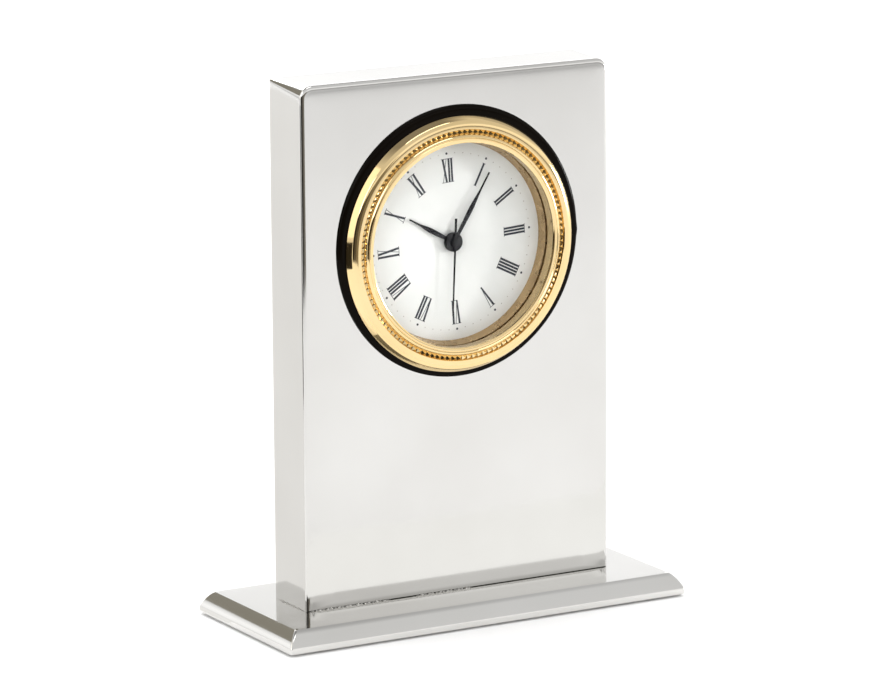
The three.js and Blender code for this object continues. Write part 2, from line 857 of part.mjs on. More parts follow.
const hourPhase = meshPhase(minuteLeaves, wayBack(minuteAngle), hourTeeth, wayBack(minuteAngle));
insertNode(
  "hour_wheel",
  cut(
    join(
      gear(hourTeeth, motionModule, centre, hourPhase, hourLayer),
      bar(hourPipe, 2.62, hourLayer[1] + 0.2, centre, 20),
    ),
    bar(hourPipeBore, 2, 7, centre, 16),
  ),
  whitePlastic,
);

const settingPhase = meshPhase(minuteTeeth, minutePhase, settingLeaves, minuteAngle);
insertNode(
  "setting_stem",
  join(
    gear(settingLeaves, motionModule, settingAt, settingPhase, leafLayer(minuteLayer)),
    bar(stemRadius, minuteLayer[0], 18.6, settingAt),
    bar(stemRadius - 0.3, frontPlate[1] - 0.4, minuteLayer[0] + 0.1, settingAt),
  ),
  whitePlastic,
);

// Finger knob on the stem's end, with notches round its rim.
const knobRadius = 5;
const knobDepth = [coverBack + 0.3, coverBack + 3];
const knobNotches = 20;
function settingKnob() {
  const blank = bar(knobRadius, ...knobDepth, settingAt, 28);
  const notches = [];
  for (let i = 0; i < knobNotches; i++) {
    const [x, z] = along(knobRadius + 0.2, (i * 2 * Math.PI) / knobNotches);
    notches.push(bar(0.45, 16, 21, [settingAt[0] + x, settingAt[1] + z], 8));
  }
  return cut(blank, bar(stemRadius + SEAT, 16, 18.6 + SEAT, settingAt), ...notches);
}
insertNode("setting_knob", settingKnob(), blackPlastic);

// ---------- hands ----------
// A slim lance: it swells from the hub, then narrows to a needle. Drawn along +X, then turned.
function handShape(length, halfWidth, waist, needle) {
  const upper = [
    [0, halfWidth * 0.72],
    [length * 0.34, halfWidth],
    [length * 0.62, waist],
    [length, needle],
  ];
  const lower = upper.map(([x, z]) => [x, -z]).reverse();
  return new THREE.Shape([...upper, ...lower].map(([x, z]) => new THREE.Vector2(x, z)));
}

function turnedHand(made, clockwise) {
  return made.rotate([0, THREE.MathUtils.radToDeg(clockwise) - 90, 0]);
}

function hand(length, halfWidth, depth, hubDepth, bore, clockwise) {
  const outline = handShape(length, halfWidth, halfWidth * 0.6, 0.2);
  const blade = turnedHand(slab(outline, ...depth), clockwise);
  const hub = bar(handHub, ...hubDepth, centre, 32);
  return cut(join(blade, hub), bar(bore + SEAT, 0, 4, centre, 20));
}

function secondHand() {
  const [length, tail, halfWidth] = [20.5, 6.7, 0.26];
  const needle = new THREE.Shape([
    new THREE.Vector2(-tail, -0.36),
    new THREE.Vector2(length, -halfWidth * 0.7),
    new THREE.Vector2(length, halfWidth * 0.7),
    new THREE.Vector2(-tail, 0.36),
  ]);
  const blade = turnedHand(slab(needle, ...secondHandDepth), secondHandAngle);
  const cap = bar(1.15, 0.98, 1.72, centre, 16);
  return cut(join(blade, cap), bar(secondsArbor + SEAT, 1.08, 4, centre, 16));
}

insertNode(
  "hour_hand",
  hand(15.5, 0.56, hourHandDepth, [2.6, 3.15], hourPipe, hourHandAngle),
  blackMetal,
);
insertNode(
  "minute_hand",
  hand(21.7, 0.54, minuteHandDepth, [1.84, 2.5], cannonPipe, minuteHandAngle),
  blackMetal,
);
insertNode("second_hand", secondHand(), blackMetal);

export default clock;
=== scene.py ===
"""Looks of the quartz desk clock: polished nickel case and base, gilt bead bezel, printed dial, hands.

Lengths are millimetres until mesh_piece() and the camera turn them into metres.
"""

import math

import bpy
from mathutils import Matrix, Vector


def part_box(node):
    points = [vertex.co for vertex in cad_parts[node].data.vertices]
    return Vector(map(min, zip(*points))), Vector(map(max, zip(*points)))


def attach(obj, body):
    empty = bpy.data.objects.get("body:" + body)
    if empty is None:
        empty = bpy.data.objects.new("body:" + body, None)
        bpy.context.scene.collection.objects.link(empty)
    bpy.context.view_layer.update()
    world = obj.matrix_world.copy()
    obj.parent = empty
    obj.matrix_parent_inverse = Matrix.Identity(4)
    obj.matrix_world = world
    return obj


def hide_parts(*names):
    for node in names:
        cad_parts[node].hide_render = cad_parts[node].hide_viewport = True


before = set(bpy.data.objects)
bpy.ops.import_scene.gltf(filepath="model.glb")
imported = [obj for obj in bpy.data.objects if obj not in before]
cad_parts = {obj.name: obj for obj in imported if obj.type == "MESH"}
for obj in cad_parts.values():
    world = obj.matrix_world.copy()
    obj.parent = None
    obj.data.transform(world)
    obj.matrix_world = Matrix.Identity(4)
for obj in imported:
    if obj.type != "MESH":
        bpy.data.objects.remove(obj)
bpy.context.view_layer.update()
MM = 0.001
TAU = 2 * math.pi


# ---------- places taken from the frame, in millimetres ----------
def box_mm(node):
    low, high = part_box(node)
    return low / MM, high / MM


def centre(low, high):
    """The middle of a box as three numbers; a slice of them gives (x, y) or (x, z)."""
    return tuple((a + b) / 2 for a, b in zip(low, high))


CASE_LOW, CASE_HIGH = box_mm("case_shell")
BASE_LOW, BASE_HIGH = box_mm("base_plate")
BEZEL_LOW, BEZEL_HIGH = box_mm("bezel")
FELT_LOW, FELT_HIGH = box_mm("base_felt")
PLATE_LOW, PLATE_HIGH = box_mm("back_plate")
KNOB_LOW, KNOB_HIGH = box_mm("setting_knob")
DOOR_LOW, DOOR_HIGH = box_mm("battery_door")
FACE = CASE_LOW.y
BACK = CASE_HIGH.y
DIAL_X, DIAL_Z = centre(BEZEL_LOW, BEZEL_HIGH)[::2]

# The insert sits turned a little to the left in its hole, so everything on it does too.
DIAL_TILT = math.radians(3.54)

WALL = 2.0
FLOOR = 3.0
INSERT_HOLE = 31.4
FLANGE_RADIUS = 38.0
FLANGE_THICKNESS = 1.05
BARREL_RADIUS = 30.7
BARREL_BORE = 29.4
COVER_FRONT = 15.65
COVER_BACK = 16.85
DIAL_FRONT = 3.4
DIAL_BACK = 3.8
LENS_FRONT = -0.33
LENS_BACK = 0.67
LENS_RADIUS = 29.25
DIAL_RADIUS = 29.2  # also the seat of the reflector ring
ROUND = 192  # points round the insert's large rings


# ---------- meshes ----------
def mesh_piece(name, points, faces, body, slot, material, stands_for=(), sharp=30):
    """A closed mesh in millimetres, in the row frame, that rides on a body and stands for CAD nodes."""
    mesh = bpy.data.meshes.new(name)
    mesh.from_pydata([Vector(p) * MM for p in points], [], faces)
    mesh.validate()
    mesh.update()
    piece = bpy.data.objects.new(name, mesh)
    bpy.context.scene.collection.objects.link(piece)
    turn_faces_out(mesh)
    mesh.shade_smooth()
    mesh.set_sharp_from_angle(angle=math.radians(sharp))
    mesh.materials.append(material)
    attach(piece, body)
    if stands_for:
        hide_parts(*stands_for)
    return piece


def turn_faces_out(mesh):
    """Flips every face if the closed mesh encloses a negative volume."""
    volume = 0.0
    mesh.calc_loop_triangles()
    for triangle in mesh.loop_triangles:
        a, b, c = (mesh.vertices[i].co for i in triangle.vertices)
        volume += a.dot(b.cross(c))
    if volume < 0:
        mesh.flip_normals()


def skin(rings, close=False, cap_first=False, cap_last=False):
    """Points and faces of a surface through rings that all hold the same number of points."""
    count = len(rings[0])
    points = [p for ring in rings for p in ring]
    faces = []
    spans = len(rings) if close else len(rings) - 1
    for r in range(spans):
        here = r * count
        there = ((r + 1) % len(rings)) * count
        for i in range(count):
            j = (i + 1) % count
            faces.append((here + i, here + j, there + j, there + i))
    if cap_first:
        faces.append(tuple(range(count - 1, -1, -1)))
    if cap_last:
        last = (len(rings) - 1) * count
        faces.append(tuple(range(last, last + count)))
    return points, faces


def capped(rings):
    """Points and faces of a solid through rings, closed by a flat face at each end."""
    return skin(rings, cap_first=True, cap_last=True)


def on_dial(x, depth, z):
    """A point of the insert, from its place right of and above the dial's centre and behind the face."""
    cos, sin = math.cos(DIAL_TILT), math.sin(DIAL_TILT)
    return (DIAL_X + x * cos - z * sin, FACE + depth, DIAL_Z + x * sin + z * cos)


def ring_of(angles, radius, y, x=DIAL_X, z=DIAL_Z):
    """Points about an axis along Y in the row frame, at angles clockwise from twelve."""
    return [(x + radius * math.sin(a), y, z + radius * math.cos(a)) for a in angles]


def at_depth(outline, y):
    return [(x, y, z) for x, z in outline]


def around(radius, depth, segments, x=0.0, z=0.0):
    """A ring of points about an axis through (x, z) on the dial."""
    ring = []
    for i in range(segments):
        angle = TAU * i / segments
        ring.append(on_dial(x + radius * math.sin(angle), depth, z + radius * math.cos(angle)))
    return ring


def turned(section, segments, x=0.0, z=0.0):
    """Points and faces of a closed [radius, depth] section turned about an axis; radius 0 caps it."""
    solid = section[0][0] == 0
    turns = section[1:-1] if solid else section
    rings = [around(radius, depth, segments, x, z) for radius, depth in turns]
    return capped(rings) if solid else skin(rings, close=True)


def disc_section(radius, front, back, edge):
    """Section of a plain disc with a small rounded edge of radius `edge` at the front and the back."""
    steps = 4
    quarter = [math.pi / 2 * i / steps for i in range(steps + 1)]
    middle = radius - edge
    front_edge = [(middle + edge * math.sin(a), front + edge - edge * math.cos(a)) for a in quarter]
    back_edge = [(middle + edge * math.cos(a), back - edge + edge * math.sin(a)) for a in quarter]
    return [(0, front)] + front_edge + back_edge + [(0, back)]


def prism(outlines, front, back):
    """Points and faces of flat shapes on the dial, each an outline of (x, z), as thin closed slabs."""
    points, faces = [], []
    for outline in outlines:
        start = len(points)
        count = len(outline)
        points += [on_dial(x, front, z) for x, z in outline]
        points += [on_dial(x, back, z) for x, z in outline]
        faces.append(tuple(start + i for i in range(count)))
        faces.append(tuple(start + count + i for i in range(count - 1, -1, -1)))
        for i in range(count):
            j = (i + 1) % count
            faces.append((start + i, start + count + i, start + count + j, start + j))
    return points, faces


# ---------- materials ----------
NOISE_LOW, NOISE_HIGH = 0.3, 0.7  # the part of a noise texture's range that its values mostly fill


def fill_ramp(ramp, stops):
    """Sets a colour ramp's stops, each a place and a colour."""
    elements = ramp.color_ramp.elements
    while len(elements) < len(stops):
        elements.new(0.5)
    for element, (position, color) in zip(elements, stops):
        element.position = position
        element.color = (*color, 1)


class Look:
    """A Principled material with procedural detail in object space."""

    def __init__(self, name, color, roughness, metallic=0.0, **inputs):
        self.material = bpy.data.materials.new(name)
        self.material.use_nodes = True
        self.nodes = self.material.node_tree.nodes
        self.links = self.material.node_tree.links
        self.shader = self.nodes["Principled BSDF"]
        self.shader.inputs["Base Color"].default_value = (*color, 1)
        self.shader.inputs["Roughness"].default_value = roughness
        self.shader.inputs["Metallic"].default_value = metallic
        self.fill(self.shader, inputs)
        self.place = self.nodes.new("ShaderNodeTexCoord").outputs["Object"]

    def fill(self, node, inputs):
        for key, value in inputs.items():
            node.inputs[key.replace("_", " ")].default_value = value

    def node(self, kind, **inputs):
        """A new node with its sockets set by name, an underscore standing for a space."""
        made = self.nodes.new("ShaderNode" + kind)
        self.fill(made, inputs)
        return made

    def noise(self, scale, detail=4.0, stretch=(1, 1, 1), roughness=0.5):
        """Noise over the piece: scale is in features per metre, stretch scales each axis."""
        mapping = self.node("Mapping", Scale=stretch)
        self.links.new(self.place, mapping.inputs["Vector"])
        texture = self.node("TexNoise", Scale=scale, Detail=detail, Roughness=roughness)
        self.links.new(mapping.outputs["Vector"], texture.inputs["Vector"])
        return texture.outputs["Fac"]

    def roughen(self, factor, low, high):
        """Lets a noise factor move the roughness between two numbers."""
        node = self.node("MapRange", From_Min=NOISE_LOW, From_Max=NOISE_HIGH, To_Min=low, To_Max=high)
        self.links.new(factor, node.inputs["Value"])
        self.drive("Roughness", node.outputs["Result"])

    def tint(self, factor, *stops):
        """Lets a factor run the base colour through stops, each a place and a colour."""
        ramp = self.node("ValToRGB")
        fill_ramp(ramp, stops)
        self.links.new(factor, ramp.inputs["Fac"])
        self.drive("Base Color", ramp.outputs["Color"])

    def drive(self, key, output):
        self.links.new(output, self.shader.inputs[key])

    def bump(self, height, strength, distance):
        """Adds a bump; distance is its depth in metres. Later bumps ride on earlier ones."""
        node = self.node("Bump", Strength=strength, Distance=distance)
        self.links.new(height, node.inputs["Height"])
        normal = self.shader.inputs["Normal"]
        if normal.is_linked:
            self.links.new(normal.links[0].from_socket, node.inputs["Normal"])
        self.links.new(node.outputs["Normal"], normal)


NICKEL_DARK, NICKEL_BRIGHT = (0.695, 0.685, 0.66), (0.735, 0.728, 0.708)
GILT_DARK, GILT_BRIGHT = (0.80, 0.60, 0.30), (0.86, 0.66, 0.36)


def nickel(name, low, high, lines, dark=NICKEL_DARK, bright=NICKEL_BRIGHT):
    """Polished nickel plate: cloudy polish, faint buffing lines, and slight waves in the sheet."""
    look = Look(name, (0.80, 0.79, 0.77), low, metallic=1.0)
    look.tint(look.noise(28, 3), (0.25, dark), (0.75, bright))
    look.roughen(look.noise(90, 5, lines, 0.6), low, high)
    look.bump(look.noise(14, 1.5), 0.30, 0.0004)
    look.bump(look.noise(700, 3, lines, 0.7), 0.05, 0.00005)
    return look.material


def gilt(name, low, high, dark=GILT_DARK, bright=GILT_BRIGHT):
    """Polished gilt: warm, with tiny handling marks."""
    look = Look(name, (0.96, 0.74, 0.42), low, metallic=1.0)
    look.tint(look.noise(60, 3), (0.2, dark), (0.8, bright))
    look.roughen(look.noise(260, 4), low, high)
    look.bump(look.noise(45, 2), 0.12, 0.00015)
    return look.material


def shaded(color, share):
    return tuple(c * share for c in color)


def plain_metal(name, color, roughness, spread=0.12):
    """Unplated or tinned metal with fine marks along Z."""
    look = Look(name, color, roughness, metallic=1.0)
    look.roughen(look.noise(500, 4, (1, 1, 0.15), 0.6), roughness, roughness + spread)
    look.tint(look.noise(120, 3), (0.3, shaded(color, 0.86)), (0.7, color))
    look.bump(look.noise(1500, 3, (1, 1, 0.1)), 0.10, 0.00004)
    return look.material


def plastic(name, color, low, high, grain, shine=0.5):
    """Moulded plastic, rubber or lacquer: a little uneven in colour and gloss, with a fine grain."""
    look = Look(name, color, low, Specular_IOR_Level=shine)
    look.tint(look.noise(80, 3), (0.3, shaded(color, 0.82)), (0.7, color))
    look.roughen(look.noise(300, 4), low, high)
    look.bump(look.noise(2600, 2), grain, 0.00006)
    return look.material


def felt_look():
    look = Look("felt", (0.03, 0.045, 0.04), 0.95, Sheen_Weight=0.6, Sheen_Roughness=0.5)
    fibre = look.noise(2500, 6, (1, 0.35, 1), 0.7)
    look.tint(fibre, (0.3, (0.018, 0.028, 0.025)), (0.7, (0.055, 0.075, 0.065)))
    look.bump(fibre, 0.7, 0.0003)
    look.bump(look.noise(260, 4), 0.3, 0.0004)
    return look.material


def dial_look():
    """White lacquer with a faint pearl in it."""
    look = Look("dial_lacquer", (0.93, 0.935, 0.92), 0.42, Coat_Weight=0.25, Coat_Roughness=0.25)
    look.tint(look.noise(140, 5), (0.3, (0.755, 0.77, 0.745)), (0.7, (0.785, 0.795, 0.77)))
    look.roughen(look.noise(4000, 2), 0.36, 0.48)
    look.bump(look.noise(5000, 2), 0.05, 0.00003)
    return look.material


def ink_look(name, color):
    look = Look(name, color, 0.5)
    lighter = tuple(min(1, c * 1.35 + 0.004) for c in color)
    look.tint(look.noise(3000, 2), (0.35, color), (0.65, lighter))
    return look.material


def lens_look():
    """Clear flat glass; its shadow rays pass straight through, so the dial behind it stays bright."""
    look = Look("lens_glass", (1, 1, 1), 0.01, Transmission_Weight=1.0, IOR=1.12)
    look.roughen(look.noise(120, 3), 0.0, 0.02)
    path = look.node("LightPath")
    clear = look.node("BsdfTransparent")
    mix = look.node("MixShader")
    output = look.nodes["Material Output"]
    look.links.new(path.outputs["Is Shadow Ray"], mix.inputs["Fac"])
    look.links.new(look.shader.outputs["BSDF"], mix.inputs[1])
    look.links.new(clear.outputs["BSDF"], mix.inputs[2])
    look.links.new(mix.outputs["Shader"], output.inputs["Surface"])
    return look.material


def winding_look():
    """Fine copper wire wound in layers round the bobbin, which stands along Z."""
    look = Look("copper_winding", (0.62, 0.27, 0.12), 0.35, metallic=1.0)
    wave = look.node("TexWave", Scale=1600, Distortion=0.6)
    wave.bands_direction = "Z"
    look.links.new(look.place, wave.inputs["Vector"])
    look.tint(wave.outputs["Fac"], (0.1, (0.32, 0.12, 0.05)), (0.8, (0.72, 0.33, 0.15)))
    look.bump(wave.outputs["Fac"], 0.6, 0.00008)
    return look.material


def board_look():
    """Green solder mask with paler copper tracks under it."""
    look = Look("circuit_board", (0.03, 0.2, 0.08), 0.35)
    mask = {"Color1": (0.02, 0.16, 0.06, 1), "Color2": (0.025, 0.19, 0.07, 1)}
    brick = look.node("TexBrick", Scale=420, Mortar_Size=0.03, Mortar=(0.10, 0.36, 0.12, 1), **mask)
    turn = look.node("Mapping", Rotation=(math.pi / 2, 0, 0))
    look.links.new(look.place, turn.inputs["Vector"])
    look.links.new(turn.outputs["Vector"], brick.inputs["Vector"])
    look.drive("Base Color", brick.outputs["Color"])
    look.bump(brick.outputs["Fac"], 0.3, 0.00005)
    return look.material


# The case's nickel is darker than the base's: painted shade, a darker copy of the plating that dims the
# case's bright reflections.
CASE_NICKEL_PAINTED_SHADE = nickel("case_nickel_painted_shade", 0.06, 0.11, (1, 1, 0.12), (0.62, 0.61, 0.59), (0.67, 0.663, 0.645))
BASE_NICKEL = nickel("base_nickel", 0.07, 0.12, (0.15, 1, 1))
PLATE_NICKEL = nickel("back_plate_nickel", 0.20, 0.30, (1, 1, 0.10))
GILT = gilt("bezel_gilt", 0.04, 0.09)
# The wall's gilt is darker than the bezel's: painted shade for the recess down to the dial.
GILT_WALL_PAINTED_SHADE = gilt("bezel_wall_gilt_painted_shade", 0.12, 0.2, (0.60, 0.44, 0.23), (0.70, 0.52, 0.28))
# Near-black gilt for one side of each bead: painted shade for the dark reflections in the bead row.
GILT_PAINTED_SHADE = gilt("bead_side_painted_shade_gilt", 0.3, 0.45, (0.10, 0.065, 0.025), (0.17, 0.115, 0.045))
# Brown and much darker than the bezel's gilt: painted shade for the deep recess round the dial's edge.
REFLECTOR_GILT_PAINTED_SHADE = gilt("reflector_gilt_painted_shade", 0.24, 0.32, (0.46, 0.32, 0.17), (0.54, 0.39, 0.22))
STEEL = plain_metal("steel", (0.60, 0.60, 0.61), 0.22)
BRASS = plain_metal("brass", (0.78, 0.60, 0.28), 0.25)
FLANGE_BLACK = (0.004, 0.0028, 0.0018)
BLACK_PLASTIC = plastic("black_plastic", FLANGE_BLACK, 0.08, 0.14, 0.03, shine=0.04)
BLACK_SATIN = plastic("black_plastic_satin", (0.018, 0.018, 0.018), 0.32, 0.45, 0.25)
WHITE_PLASTIC = plastic("white_plastic", (0.80, 0.79, 0.74), 0.38, 0.5, 0.15)
AMBER_PLASTIC = plastic("amber_plastic", (0.55, 0.36, 0.15), 0.35, 0.5, 0.15)
SOLDER = plain_metal("solder", (0.55, 0.54, 0.52), 0.40)
RUBBER = plastic("rubber", (0.025, 0.025, 0.025), 0.75, 0.9, 0.35)
HAND_BLACK = plastic("hand_lacquer", (0.005, 0.005, 0.007), 0.10, 0.20, 0.04, shine=0.35)
FELT = felt_look()
DIAL = dial_look()
INK = ink_look("dial_ink", (0.018, 0.021, 0.030))
DOT_INK = ink_look("minute_dot_ink", (0.36, 0.34, 0.31))
LENS = lens_look()
WINDING = winding_look()
BOARD = board_look()


# ---------- cutting holes ----------
def cut(piece, *solids):
    """Takes closed solids, each points and faces in millimetres, away from a piece for good."""
    for points, faces in solids:
        mesh = bpy.data.meshes.new("cutter")
        mesh.from_pydata([Vector(p) * MM for p in points], [], faces)
        mesh.update()
        turn_faces_out(mesh)
        cutter = bpy.data.objects.new("cutter", mesh)
        bpy.context.scene.collection.objects.link(cutter)
        modifier = piece.modifiers.new("hole", "BOOLEAN")
        modifier.operation = "DIFFERENCE"
        modifier.solver = "EXACT"
        modifier.object = cutter
        bpy.context.view_layer.update()
        depsgraph = bpy.context.evaluated_depsgraph_get()
        made = bpy.data.meshes.new_from_object(piece.evaluated_get(depsgraph))
        piece.modifiers.remove(modifier)
        piece.data = made
        bpy.data.objects.remove(cutter)
    piece.data.set_sharp_from_angle(angle=math.radians(30))


def revolved_y(x, z, section, segments=32):
    """A solid turned about an axis along Y in the row frame, from (radius, y) points."""
    angles = [TAU * i / segments for i in range(segments)]
    return capped([ring_of(angles, radius, y, x, z) for radius, y in section])


def revolved_z(x, y, section, segments=32):
    """A solid turned about an axis along Z in the row frame, from (radius, z) points."""
    rings = []
    for radius, z in section:
        angles = [TAU * i / segments for i in range(segments)]
        rings.append([(x + radius * math.cos(a), y + radius * math.sin(a), z) for a in angles])
    return capped(rings)


def bar_y(x, z, radius, front, back, segments=32):
    return revolved_y(x, z, [(radius, front), (radius, back)], segments)


def bar_z(x, y, radius, low, high, segments=32):
    return revolved_z(x, y, [(radius, low), (radius, high)], segments)


def block(low, high):
    """A box between two corners in the row frame."""
    (x0, y0, z0), (x1, y1, z1) = low, high
    return capped([[(x0, y0, z), (x1, y0, z), (x1, y1, z), (x0, y1, z)] for z in (z0, z1)])


def slot_y(x, z, half_length, half_width, turn, front, back):
    """A slab along Y, turned about its own axis, that cuts the slot for a screwdriver or a coin."""
    cos, sin = math.cos(turn), math.sin(turn)
    corners = []
    for end, side in ((-1, -1), (1, -1), (1, 1), (-1, 1)):
        along, across = end * half_length, side * half_width
        corners.append((x + along * cos - across * sin, z + along * sin + across * cos))
    return capped([at_depth(corners, front), at_depth(corners, back)])


def joined(*parts):
    """Several points-and-faces pairs as one."""
    points, faces = [], []
    for more_points, more_faces in parts:
        shift = len(points)
        points += more_points
        faces += [tuple(i + shift for i in face) for face in more_faces]
    return points, faces


# ---------- case ----------
CORNER_RADIUS = 3.6
BACK_CORNER_RADIUS = 1.1  # the polishing rounds the front corners more than the back ones
SEAM_SHARE = 0.2  # the front's edge is rounded this much less where it meets the base


def arc(x, z, radius, start, end, steps):
    points = []
    for i in range(steps + 1):
        angle = math.radians(start + (end - start) * i / steps)
        points.append((x + radius * math.cos(angle), z + radius * math.sin(angle)))
    return points


def run(a, b, steps):
    """Points from a towards b, without either end."""
    points = []
    for i in range(1, steps):
        t = i / steps
        points.append((a[0] + (b[0] - a[0]) * t, a[1] + (b[1] - a[1]) * t))
    return points


def case_outline(inset, lift, corner=CORNER_RADIUS):
    """(x, z) round the case, drawn in by `inset` at the sides and top and by `lift` at the bottom."""
    half = (CASE_HIGH.x - CASE_LOW.x) / 2 - inset
    top = CASE_HIGH.z - inset
    bottom = CASE_LOW.z + lift
    radius = max(corner - inset, 0.6)
    right_arc = arc(half - radius, top - radius, radius, 0, 90, 14)
    left_arc = arc(radius - half, top - radius, radius, 90, 180, 14)
    outline = [(half, bottom)]
    outline += run((half, bottom), right_arc[0], 60)
    outline += right_arc
    outline += run(right_arc[-1], left_arc[0], 40)
    outline += left_arc
    outline += run(left_arc[-1], (-half, bottom), 60)
    outline.append((-half, bottom))
    outline += run((-half, bottom), (half, bottom), 40)
    return outline


def angles_of(outline, x0=DIAL_X, z0=DIAL_Z):
    """Where each point of an outline lies as seen from a centre, clockwise from twelve."""
    return [math.atan2(x - x0, z - z0) for x, z in outline]


def case_mesh():
    """A shell open at the back, with the insert's round hole in its front."""
    angles = angles_of(case_outline(0, 0))

    def hole(radius, y):
        return ring_of(angles, radius, y)

    def blend(ring_a, ring_b, t):
        return [tuple(p + (q - p) * t for p, q in zip(a, b)) for a, b in zip(ring_a, ring_b)]

    # The polished front is flat in the middle and falls away a little near its edges.
    fall = [(8, 0), (6, 0.004), (4.5, 0.012), (3.4, 0.024), (2.6, 0.042), (2.0, 0.068), (1.5, 0.108)]
    round_over = 1.5
    round_depth = 0.9
    front_lip = hole(INSERT_HOLE + 0.3, FACE)
    panel = at_depth(case_outline(8, 8 * SEAM_SHARE), FACE)
    rings = [hole(INSERT_HOLE, FACE + WALL), hole(INSERT_HOLE, FACE + 0.3), front_lip]
    rings += [blend(front_lip, panel, t) for t in (0.2, 0.45, 0.72)]
    rings += [at_depth(case_outline(d, d * SEAM_SHARE), FACE + y) for d, y in fall]
    steps = 12
    for i in range(1, steps + 1):
        a = math.pi / 2 * i / steps
        inset = round_over * (1 - math.sin(a)) ** 1.25
        depth = fall[-1][1] + round_depth * (1 - math.cos(a))
        rings.append(at_depth(case_outline(inset, inset * SEAM_SHARE), FACE + depth))
    start = rings[-1][0][1]
    back_round = 0.6
    for t in (0.1, 0.3, 0.5, 0.7, 0.9, 1.0):
        corner = CORNER_RADIUS + (BACK_CORNER_RADIUS - CORNER_RADIUS) * t
        rings.append(at_depth(case_outline(0, 0, corner), start + (BACK - back_round - start) * t))
    for i in range(1, 6):
        a = math.pi / 2 * i / 5
        inset = back_round * (1 - math.cos(a))
        outline = case_outline(inset, 0, BACK_CORNER_RADIUS)
        rings.append(at_depth(outline, BACK - back_round * (1 - math.sin(a))))
    inside = case_outline(WALL, FLOOR)
    rings.append(at_depth(inside, BACK))
    rings.append(at_depth(inside, FACE + WALL))
    rings.append(blend(at_depth(inside, FACE + WALL), hole(INSERT_HOLE, FACE + WALL), 0.5))
    return skin(rings, close=True)


SCREW_BOXES = [box_mm(f"back_plate_screw_{i}") for i in (1, 2, 3, 4)]
BACK_SCREWS = [centre(low, high)[::2] for low, high in SCREW_BOXES]
BASE_SCREWS = [box_mm("base_screw_left"), box_mm("base_screw_right")]
BOSS = 6.0
PILOT = 1.2


def boss(x, z):
    """A square boss in a corner of the case, sunk a little into the walls, bored for a screw."""
    side = math.copysign(1, x)
    rise = 1 if z > DIAL_Z else -1
    x_far, x_near = x + side * (BOSS / 2 + 0.6), x - side * (BOSS / 2 + 0.8)
    z_far, z_near = z + rise * (BOSS / 2 + 0.6), z - rise * (BOSS / 2 + 0.8)
    corners = [(x_far, z_far), (x_near, z_far), (x_near, z_near), (x_far, z_near)]
    square = []
    for i, corner in enumerate(corners):
        square += [corner] + run(corner, corners[(i + 1) % 4], 6)
    angles = angles_of(square, x, z)
    front, back = FACE + 1.2, PLATE_LOW.y - 0.02
    rings = [at_depth(square, front), at_depth(square, back)]
    rings += [ring_of(angles, PILOT, back, x, z), ring_of(angles, PILOT, front + 1.5, x, z)]
    return capped(rings)


def screw_way(low, high):
    """The way through the base and the case's floor for a screw from below, with room for its head."""
    x, y = centre(low, high)[:2]
    head_radius = (high.x - low.x) / 2
    shank_radius = head_radius / 2 + 0.1
    head_top = low.z + 2.2
    return [
        bar_z(x, y, head_radius + 0.1, low.z - 3, head_top, 40),
        bar_z(x, y, shank_radius, head_top - 0.5, high.z + 0.2, 32),
    ]


case_points, case_faces = joined(case_mesh(), *[boss(x, z) for x, z in BACK_SCREWS])
case = mesh_piece(
    "case_body", case_points, case_faces, "case", "polished_nickel", CASE_NICKEL_PAINTED_SHADE, ["case_shell"]
)
cut(case, *[way for low, high in BASE_SCREWS for way in screw_way(low, high)])


# ---------- base ----------
BASE_EDGE_HEIGHT = 1.6
BASE_CORNER = 0.5
BEVEL_RUN = 3.1
BEVEL_DROP = 4.4


def base_outline(half_x, half_y, z):
    """A rectangle with rounded corners, its side points closer together near the corners."""
    x, y = half_x - BASE_CORNER, half_y - BASE_CORNER
    corners = []
    for i, (side, end) in enumerate(((1, 1), (-1, 1), (-1, -1), (1, -1))):
        corners.append(arc(side * x, end * y, BASE_CORNER, 90 * i, 90 * i + 90, 6))
    outline = []
    steps = 30
    for i, corner in enumerate(corners):
        outline += corner
        (ax, ay), (bx, by) = corner[-1], corners[(i + 1) % 4][0]
        for k in range(1, steps):
            t = 0.5 - 0.5 * math.cos(math.pi * k / steps)
            outline.append((ax + (bx - ax) * t, ay + (by - ay) * t))
    return [(px, py, z) for px, py in outline]


def base_mesh():
    """The bevelled plate, with a shallow pocket for the felt in its underside."""
    half_x, half_y = BASE_HIGH.x, BASE_HIGH.y
    flat_x, flat_y = half_x - BEVEL_RUN, half_y - BEVEL_RUN
    bottom, top = BASE_LOW.z, BASE_HIGH.z
    shelf = bottom + BASE_EDGE_HEIGHT
    rings = []
    for inset in (20, 8, 3, 1.2):
        rings.append(base_outline(flat_x - inset, flat_y - inset, top))
    # The bevel swells a little, starts with a soft shoulder, and ends on a crisp line above the edge.
    steps = 16
    shoulder = 0.12
    for i in range(steps + 1):
        t = i / steps
        out = 2 * t * (1 - t) * (BEVEL_RUN * 0.66) + t * t * BEVEL_RUN
        drop = 2 * t * (1 - t) * (BEVEL_DROP * 0.40) + t * t * BEVEL_DROP
        soft = shoulder * math.exp(-t * 9)
        step_in = soft * 1.2
        x, y = flat_x + out - step_in, flat_y + out - step_in
        rings.append(base_outline(x, y, top - drop - soft * 0.06))
    for z in (shelf, shelf - 0.5, bottom + 0.35):
        rings.append(base_outline(half_x, half_y, z - 0.04))
    for inset, z in ((0.1, bottom + 0.1), (0.35, bottom)):
        rings.append(base_outline(half_x - inset, half_y - inset, z))
    for z in (bottom, FELT_HIGH.z + 0.02):
        rings.append(base_outline(FELT_HIGH.x + 0.1, FELT_HIGH.y + 0.1, z))
    return capped(rings)


base = mesh_piece("base_body", *base_mesh(), "case", "polished_nickel", BASE_NICKEL, ["base_plate"])
cut(base, *[way for low, high in BASE_SCREWS for way in screw_way(low, high)])


